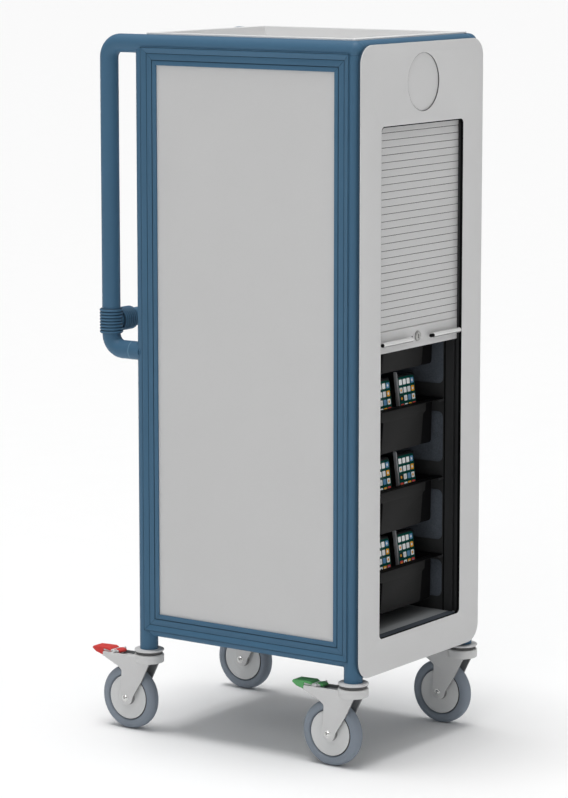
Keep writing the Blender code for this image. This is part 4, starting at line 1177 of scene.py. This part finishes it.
def tray_shell(lower, upper, rim):
    """Tapered bowl with a flat rim, through rings from its outer floor to its inner one."""
    flange = (upper.x, lower.y, upper.y)
    top = (upper.x - TRAY_SIDE_SET, lower.y + TRAY_FRONT_SET, upper.y - TRAY_REAR_SET)
    foot = (top[0] - TRAY_DRAFT, top[1] + TRAY_DRAFT, top[2] - TRAY_DRAFT)
    floor = lower.z
    wall = TRAY_WALL
    lip = wall / 3
    under = rim - wall
    corner = TRAY_CORNER
    inner_corner = corner - wall
    fillet = TRAY_FILLET
    small = fillet / 4
    steps = [
        (foot, fillet, corner / 2, floor), (foot, small, corner, floor + small),
        (foot, 0, corner, floor + fillet), (top, 0, corner, under),
        (flange, lip, corner / 2, under), (flange, 0, corner / 2, under + lip),
        (flange, 0, corner / 2, rim - lip), (flange, lip, corner / 2, rim),
        (top, wall - lip, inner_corner, rim), (top, wall, inner_corner, rim - lip),
        (foot, wall, inner_corner, floor + fillet + wall),
        (foot, wall + small, inner_corner, floor + wall + small),
        (foot, wall + fillet, corner / 2, floor + wall),
    ]
    levels = []
    for (half_wide, front, rear), distance, radius, height in steps:
        side = half_wide - distance
        levels.append(((-side, front + distance), (side, rear - distance), radius, height))
    return bowl(levels)


def tray_face(lower, rim):
    """Raised front of a tray: narrower and set back towards its foot."""
    floor = lower.z + FACE_FOOT
    tall = rim - TRAY_WALL / 2 - floor
    brow = tall - FACE_BROW
    right = [(FACE_LOW_HALF, 0), (FACE_LOW_HALF, brow - FACE_STEP)]
    right += [(FACE_TOP_HALF, brow), (FACE_TOP_HALF, tall)]
    corners = right + [(-x, z) for x, z in reversed(right)]
    radii = [FACE_CORNER, FACE_STEP / 2, FACE_STEP / 2, 0]
    outline = bent(corners, radii + radii[::-1])
    front = lower.y + FACE_SET
    back = lower.y + TRAY_FRONT_SET + TRAY_WALL / 2
    edge = FACE_EDGE
    rings = []
    layers = [(0, back, TRAY_DRAFT), (0, front + edge, FACE_LEAN)]
    layers += [(edge / 4, front + edge / 4, FACE_LEAN), (edge, front, FACE_LEAN)]
    for distance, y, lean in layers:
        ring = []
        for point in inset(outline, distance):
            ring.append((point.x, y + lean * (1 - point.y / tall), floor + point.y))
        rings.append(ring)
    return loft(rings)


def leaning_plate(y, length, heights, span, radius):
    """Upright plate that leans back with the phones, its upper corners rounded."""
    bottom, top = heights
    shift = (top - bottom) * tan(PHONE_LEAN)
    corners = [(y, bottom), (y + length, bottom), (y + length + shift, top), (y + shift, top)]
    outline = bent(corners, [0, 0, radius, radius])
    return across(outline, *span, PLATE_EDGE)


def phone_mesh():
    """Phone standing on its lower end, its back on the local plane y = 0."""
    side = PHONE_WIDE / 2
    case = rounded_box((-side, 0), (side, PHONE_TALL), PHONE_CORNER, PHONE_STEPS)
    body = plate([case], 0, PHONE_THICK, PHONE_EDGE, plane_xz(0))
    side -= PHONE_FRAME
    glass_top = PHONE_TALL - PHONE_BROW
    glass_corner = PHONE_CORNER - PHONE_FRAME
    front = rounded_box((-side, PHONE_FRAME), (side, glass_top), glass_corner, PHONE_STEPS)
    glass = plate([front], PHONE_THICK - GLASS_SUNK, PHONE_THICK + GLASS_PROUD, GLASS_EDGE, plane_xz(0))
    return dressed("phone", merged([body], [glass]), ["phone", "screen"])


def add_phone(name, body, x, slot_y, floor, mesh):
    phone = linked(name, mesh)
    stand = Vector((x, slot_y + SLOT_DEEP - CLEAR, floor + CLEAR + PHONE_THICK * sin(PHONE_LEAN)))
    phone.matrix_world = Matrix.Translation(stand) @ Matrix.Rotation(-PHONE_LEAN, 4, "X")
    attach(phone, body)


def add_trays():
    phone = phone_mesh()
    for index in range(1, TRAY_COUNT + 1):
        name = "tray_" + str(index)
        lower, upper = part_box(name)
        lower.z -= TRAY_DROP
        rim = upper.z - DIVIDER_UP
        body = tray_body(index)
        slot_y = lower.y + TRAY_FRONT_SET + TRAY_DRAFT + TRAY_WALL + SLOT_BACK
        bite = lower.z + TRAY_WALL / 2
        low_half = upper.x - TRAY_SIDE_SET - TRAY_DRAFT - TRAY_WALL / 2
        heights = (bite, rim + REST_UP)
        rest = leaning_plate(slot_y + SLOT_DEEP, PLATE_THICK, heights, (-low_half, low_half), REST_ROUND)
        dividers = []
        for side in (-1, 1):
            start = (side * PHONE_PITCH - PLATE_THICK) / 2
            span = (start, start + PLATE_THICK)
            front = slot_y + DIVIDER_SET
            dividers.append(leaning_plate(front, DIVIDER_LONG, (bite, upper.z), span, DIVIDER_ROUND))
        # The shell, rim and phone rest take a darker black than the raised face of the same moulding:
        # painted shade
        tray = merged([tray_face(lower, rim)], [tray_shell(lower, upper, rim), rest], dividers)
        add("moulded_" + name, tray, ["black", "dark", "divider"], body, [name])
        for lane in (-1, 0, 1):
            phone_name = "phone_" + str(index) + "_" + str(lane + 2)
            add_phone(phone_name, body, lane * PHONE_PITCH, slot_y, lower.z + TRAY_WALL, phone)


def add_wall_piece(name, side, outline, edge, look):
    """Thin piece let into an inner wall."""
    inner = side * (OPENING_HALF + CLEAR) - FIELD_THICK / 2
    add(name, across(outline, inner, inner + FIELD_THICK, edge), [look], "carcass")


def add_wall_fields():
    """Lighter textured fields on the inner walls, one beside each tray, which are painted light where light
    falls on the walls; near-black strips of painted shade ahead of them; and the strip on the sill.
    """
    spans = []
    for index in range(1, TRAY_COUNT + 1):
        bottom = high("tray_" + str(index)).z - DIVIDER_UP + FIELD_UP
        spans.append((bottom, bottom + FIELD_TALL))
    base_top = high("base_panel").z
    spans.append((base_top + FIELD_UP, high("tray_1").z - DIVIDER_UP - FIELD_UP / 2))
    front = low("tray_1").y + FIELD_BACK
    rear = high("tray_1").y
    for index, (bottom, top) in enumerate(spans):
        outline = rounded_box((front, bottom), (rear, top), FIELD_CORNER)
        for name, side in SIDES.items():
            add_wall_piece("wall_painted_light_" + name + "_" + str(index + 1), side, outline, CLEAR, "field")
    # A flat near-black upright strip on each inner wall: painted shade of a groove
    groove_back = front - GROOVE_AHEAD
    groove_low = (groove_back - GROOVE_WIDE, base_top + CLEAR)
    rise = rounded_box(groove_low, (groove_back, OPENING_TOP_Z), CLEAR, TRIM_STEPS)
    for name, side in SIDES.items():
        add_wall_piece("wall_shade_line_" + name, side, rise, 0, "dark")
    sill_y = low("base_panel").y
    sill_end = (OPENING_HALF, sill_y + SILL_DEEP)
    outline = rounded_box((-OPENING_HALF, sill_y), sill_end, CLEAR, TRIM_STEPS)
    strip = plate([outline], base_top, base_top + CLEAR, 0)
    add("sill_strip", strip, ["field"], "carcass")


# Castors

def mirrored(line):
    """Profile of (radius, height) points followed by its own reflection."""
    return line + [(radius, -height) for radius, height in reversed(line)]


def wheel_meshes(centre, radius):
    """Hub with its boss, and rounded tyre; the hub's groove ring next to the tyre and a ring round the boss
    carry painted shade.
    """
    hub_r = radius - TYRE_TALL
    line_r = hub_r - HUB_LINE
    cone, cone_side = HUB_CONE
    flat, side = HUB_FACE
    line_floor = side - HUB_LINE_DEEP
    boss = FORK_GAP - CLEAR
    hub = [
        (HUB_BORE, boss), (BOSS_R, boss), (BOSS_R + BOSS_EDGE, boss - BOSS_EDGE), BOSS_FOOT, HUB_DISH,
        (hub_r * cone, cone_side), (hub_r * flat, side), (line_r - HUB_EDGE, side),
        (line_r, side - HUB_EDGE), (line_r, line_floor), (hub_r - HUB_SHORT, line_floor),
    ]
    tyre_half = half("wheel_tyre_front_left").x
    tyre = [(hub_r + out, height) for out, height in TYRE_FOOT]
    tyre += [(hub_r + out, tyre_half - fall) for out, fall in TYRE_LIP]
    tyre += [(radius - depth, tyre_half - fall) for depth, fall in TYRE_ROUND]
    tyre += [(radius - depth, height) for depth, height in TREAD]
    placement = along_x(centre)
    hub_mesh = turned(mirrored(hub), placement, closed=True)
    # The groove ring next to the tyre gets the dark grey and the ring round the boss the mid grey: painted
    # shade
    for face in hub_mesh.polygons:
        distance = (face.center - centre).yz.length
        ringed = HUB_SHADOW_RING[0] < distance < HUB_SHADOW_RING[1]
        outer = distance > hub_r - 1.1 * HUB_LINE
        face.material_index = 1 if outer else 2 if ringed else 0
    return hub_mesh, turned(mirrored(tyre), placement, closed=True)


def axle_meshes(centre):
    """Axle with domed bolt heads on both sides of the fork, and their sockets, which are dark grey discs of
    painted shade.
    """
    seat = FORK_GAP + FORK_LEG
    rod = [(0, seat), (AXLE_R, seat), (AXLE_R, -seat), (0, -seat)]
    head = [(radius, seat + rise) for radius, rise in BOLT_DOME + BOLT_WASHER]
    socket = [(radius, seat + rise) for radius, rise in BOLT_SOCKET]
    bolts = [turned(rod, along_x(centre), AXLE_STEPS)]
    sockets = []
    for turn in (0, pi):
        placement = along_x(centre) @ Matrix.Rotation(turn, 4, "X")
        bolts.append(turned(head, placement, ROD_STEPS))
        sockets.append(turned(socket, placement, PIN_STEPS))
    return merged(bolts, sockets)


def disc_profile(radius, top, bottom, edge, under_edge):
    """Profile of a thick disc; an edge's points are set in from its side and its face."""
    upper = [(radius - inward, top - fall) for inward, fall in edge]
    lower = [(radius - inward, bottom + rise) for inward, rise in under_edge]
    return [(0, top)] + upper + lower + [(0, bottom)]


def cheek_outline(trail, axle_z, head_low, arm_low, arm_end, braked):
    """Side of the fork: arm, and a leg that tapers to a round end about the axle."""
    top = arm_low + ARM_TALL
    corners = [
        (-CHEEK_FRONT, top), (-CHEEK_FRONT, head_low), (LEG_KNEE[0], head_low - LEG_KNEE[1]),
        (trail - LEG_SHIN[0], axle_z + LEG_SHIN[1]), (trail - LEG_TOE[0], axle_z - LEG_TOE[1]),
        (trail + LEG_HEEL[0], axle_z - LEG_HEEL[1]), (trail + LEG_CALF[0], axle_z + LEG_CALF[1]),
        (trail + LEG_NECK[0], head_low - LEG_NECK[1]), (trail + ARM_ROOT[0], arm_low - ARM_ROOT[1]),
    ]
    if braked:
        corners += [(arm_end, arm_low + up) for up in BRAKED_ARM]
        rounds = CHEEK_ROUNDS + 2 * [BRAKED_ARM_ROUND]
    else:
        corners += [(arm_end, arm_low), (arm_end, top - ARM_NOSE[1]), (arm_end - ARM_NOSE[0], top)]
        rounds = CHEEK_ROUNDS + ARM_ROUNDS
    return bent(corners, rounds, WIDE_STEPS)


def fork_mesh(name, swivel, braked):
    """Turned head, two cheeks and the web between them."""
    upper = high("castor_fork_" + name)
    axle = middle("wheel_axle_" + name)
    trail = axle.y - swivel.y
    arm_low = 2 * axle.z + ARM_UP
    head_low = arm_low + HEAD_UP
    arm_end = upper.y - swivel.y
    outline = cheek_outline(trail, axle.z, head_low, arm_low, arm_end, braked)
    bore = circle((trail, axle.z), FORK_BORE, AXLE_STEPS)
    shapes = []
    for side in (-1, 1):
        start = side * (FORK_GAP + FORK_LEG / 2) - FORK_LEG / 2
        cheek = plate([outline, bore], start, start + FORK_LEG, FORK_EDGE, plane_yz(0))
        # Edge faces of a cheek that do not face up get the mid grey and faces towards the wheel the darker
        # grey: painted shade
        for face in cheek.polygons:
            under = abs(face.normal.x) < CHEEK_FLAT and face.normal.z < CHEEK_TOP
            inner = side * face.normal.x < -CHEEK_FLAT
            face.material_index = 2 if inner else 1 if under else 0
        shapes.append(cheek)
    web_end = PEDAL_HINGE_Y + WEB_PAST_HINGE if braked else arm_end - WEB_SHORT
    web_low = arm_low + WEB_LOW
    web_top = arm_low + WEB_HIGH
    corners = [(-WEB_FRONT, web_low), (web_end, web_low), (web_end, web_top), (-WEB_FRONT, web_top)]
    web = bent(corners, [0, WEB_ROUND, WEB_ROUND, 0], LEVER_STEPS)
    shapes.append(across(web, -FORK_GAP - CLEAR, FORK_GAP + CLEAR, 0))
    head_r = half("castor_collar_" + name).x
    head = disc_profile(head_r, upper.z, head_low, HEAD_EDGE, HEAD_UNDER_EDGE)
    shapes.append(turned(head))
    mesh = merged(shapes)
    mesh.transform(Matrix.Translation((swivel.x, swivel.y, 0)))
    return mesh


def collar_mesh(name, swivel):
    """Top plate of a castor over its bearing seal, whose dark grey is partly painted shade of the gap under
    the plate.
    """
    lower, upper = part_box("castor_collar_" + name)
    radius = half("castor_collar_" + name).x
    neck_top = lower.z + COLLAR_NECK
    disc = disc_profile(radius, upper.z, neck_top, COLLAR_EDGE, COLLAR_UNDER_EDGE)
    seal_r = radius - SEAL_SET
    seal = [(0, neck_top + CLEAR), (seal_r, neck_top + CLEAR), (seal_r, lower.z + SEAL_EDGE)]
    seal += [(seal_r - SEAL_EDGE, lower.z), (0, lower.z)]
    placement = Matrix.Translation((swivel.x, swivel.y, 0))
    return merged([turned(disc, placement)], [turned(seal, placement)])


def pedal_tip(start, over, tip, top):
    """Side of the pedal's wedge, from where it leaves the arm to its tip and back over the arm."""
    corners = [
        (start, top - WEDGE_DEEP), (tip - WEDGE_CHIN[0], top - WEDGE_CHIN[1]), (tip, top - WEDGE_TIP),
        (tip - WEDGE_BROW[0], top - WEDGE_BROW[1]), (over + WEDGE_NAPE, top),
        (over, top - WEDGE_END[0]), (over, top - WEDGE_END[1]), (start, top - WEDGE_NOTCH),
    ]
    return bent(corners, WEDGE_ROUNDS, LEVER_STEPS)


def pedal_tab(top):
    """Side of the tab ahead of the wedge."""
    front, rear = TAB_SPAN
    corners = [
        (front, top - TAB_DEEP), (rear, top - TAB_DEEP), (rear, top - TAB_ENDS[1]),
        (TAB_CREST[0], top - TAB_CREST[1]), (front, top - TAB_ENDS[0]),
    ]
    rounds = 3 * [PEDAL_ROUND] + [TAB_ROUND, PEDAL_ROUND]
    return bent(corners, rounds, LEVER_STEPS)


def pedal_mesh(name, swivel):
    """Brake pedal: wedge tip with grip ribs, a tab before it and the grey stem that joins them."""
    upper = high("brake_pedal_" + name)
    top = upper.z - PEDAL_SET
    arm_end = high("castor_fork_" + name).y - swivel.y
    start = arm_end + PEDAL_PAST
    wide = FORK_GAP - 2 * CLEAR
    wedge = pedal_tip(start, arm_end - PEDAL_OVER, upper.y - swivel.y, top)
    tab_half = TAB_SHARE * wide
    shapes = [across(wedge, -wide, wide, PEDAL_EDGE), across(pedal_tab(top), -tab_half, tab_half, TAB_EDGE)]
    rib_half = PEDAL_RIB_SHARE * wide
    for step in range(PEDAL_RIBS):
        y = start + PEDAL_RIB_WIDE + PEDAL_RIB_PITCH * step
        rib_top = (y + PEDAL_RIB_WIDE, top - PEDAL_RIB_SET - PEDAL_RIB_FALL * step)
        rib = rounded_box((y, top - PEDAL_RIB_DEEP), rib_top, PEDAL_RIB_ROUND, SMALL_STEPS)
        shapes.append(across(rib, -rib_half, rib_half, PEDAL_RIB_EDGE))
    stem_low = (STEM_START, upper.z - STEM_DOWN[0])
    stem_high = (start + STEM_REACH, upper.z - STEM_DOWN[1])
    stem = rounded_box(stem_low, stem_high, PEDAL_ROUND, SMALL_STEPS)
    stem_half = FORK_GAP - STEM_SIDE
    reach = FORK_GAP + FORK_LEG + TAB_EDGE
    pin = [(0, reach), (HINGE_PIN_FACE, reach), (HINGE_PIN_R, reach - HINGE_PIN_EDGE)]
    hinge = along_x((0, PEDAL_HINGE_Y, upper.z - PEDAL_HINGE_DOWN))
    joined = [across(stem, -stem_half, stem_half, TAB_EDGE), turned(mirrored(pin), hinge, PIN_STEPS)]
    mesh = merged(shapes, joined)
    mesh.transform(Matrix.Translation((swivel.x, swivel.y, 0)))
    return mesh


def add_castors():
    for name in CASTORS:
        swivel = middle("castor_collar_" + name)
        axle = middle("wheel_axle_" + name)
        castor = "castor_" + name
        wheel = "wheel_" + name
        collar = collar_mesh(name, swivel)
        add("plate_" + castor, collar, ["castor", "line"], "carcass", ["castor_collar_" + name])
        fork = fork_mesh(name, swivel, name in PEDALS)
        fork_looks = ["castor", "painted_shade_grey", "painted_shade_inner"]
        add("fork_" + castor, fork, fork_looks, castor, ["castor_fork_" + name])
        hub, tyre = wheel_meshes(axle, axle.z)
        add("hub_" + wheel, hub, ["hub", "line", "painted_shade_grey"], wheel, ["wheel_hub_" + name])
        add("tyre_" + wheel, tyre, ["rubber"], wheel, ["wheel_tyre_" + name])
        add("bolt_" + castor, axle_meshes(axle), ["metal", "line"], castor, ["wheel_axle_" + name])
        if name in PEDALS:
            lever = pedal_mesh(name, swivel)
            add("pedal_" + name, lever, [PEDALS[name], "castor"], "pedal_" + name, ["brake_pedal_" + name])


def dress_carried_nodes():
    """Looks for the CAD nodes that are shown as they are."""
    looks = {
        "poster_panel_left": "poster", "poster_panel_right": "poster", "rear_panel": "panel",
        "base_panel": "base", "runner_panel_left": "wall", "runner_panel_right": "wall",
        "shutter_roller": "slat",
    }
    for name, look in looks.items():
        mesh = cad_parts[name].data
        mesh.materials.clear()
        mesh.materials.append(LOOKS[look])


# Studio

def add_light(name, kind, energy, aim):
    """Lamp that shines along the direction given."""
    light = bpy.data.lights.new(name, kind)
    light.energy = energy
    lamp = linked(name, light)
    lamp.rotation_euler = Vector(aim).to_track_quat("-Z", "Y").to_euler()
    return lamp


def add_lamps():
    """Even soft light from above, and a round lamp aimed at the trolley's middle."""
    above = add_light("top_light", "SUN", TOP_LIGHT_POWER, TOP_LIGHT_AIM)
    above.data.angle = TOP_LIGHT_SPREAD
    to_middle = Vector((0, 0, TOP_Z / 2)) - Vector(SIDE_LAMP)
    beside = add_light("side_lamp", "AREA", SIDE_LAMP_POWER, to_middle)
    beside.location = SIDE_LAMP
    beside.data.shape = "DISK"
    beside.data.size = SIDE_LAMP_WIDE


def add_studio():
    scene = bpy.context.scene
    scene.view_settings.view_transform = "Standard"
    world = bpy.data.worlds.new("studio")
    world.use_nodes = True
    tree = world.node_tree
    parts = node(tree, "SeparateXYZ", Vector=node(tree, "TexCoord").outputs["Generated"])
    glow = node(tree, "MapRange", Value=parts.outputs["Z"], To_Min=SKY_LOW, To_Max=SKY_HIGH)
    backdrop = tree.nodes["Background"]
    feed(tree, backdrop.inputs["Color"], (1, 1, 1, 1))
    feed(tree, backdrop.inputs["Strength"], glow.outputs["Result"])
    scene.world = world

    floor_line = [(0, 0), (FLOOR_R / 8, 0), (FLOOR_R, 0)]
    floor_mesh = turned(floor_line, along_z((0, 0, -CLEAR)), DISC_STEPS)
    floor_mesh.materials.append(surface("studio_floor", FLOOR_TINT, 0.8, grain=60, vary=0.006, relief=0))
    floor = linked("studio_floor", floor_mesh)

    add_lamps()

    camera_data = bpy.data.cameras.new("photo_view")
    camera_data.lens = CAMERA_LENS
    camera_data.sensor_width = CAMERA_SENSOR
    camera_data.sensor_fit = "AUTO"
    camera_data.clip_end = CAMERA_REACH
    camera = linked("photo_view", camera_data)
    camera.location = CAMERA_PLACE
    camera.rotation_euler = CAMERA_TURN
    scene.camera = camera


add_frame()
add_push_bar()
add_front_panel()
add_top_tray()
add_sides()
add_curtain()
add_door_rail()
add_grips()
add_lock()
add_trays()
add_wall_fields()
add_castors()
dress_carried_nodes()
add_studio()
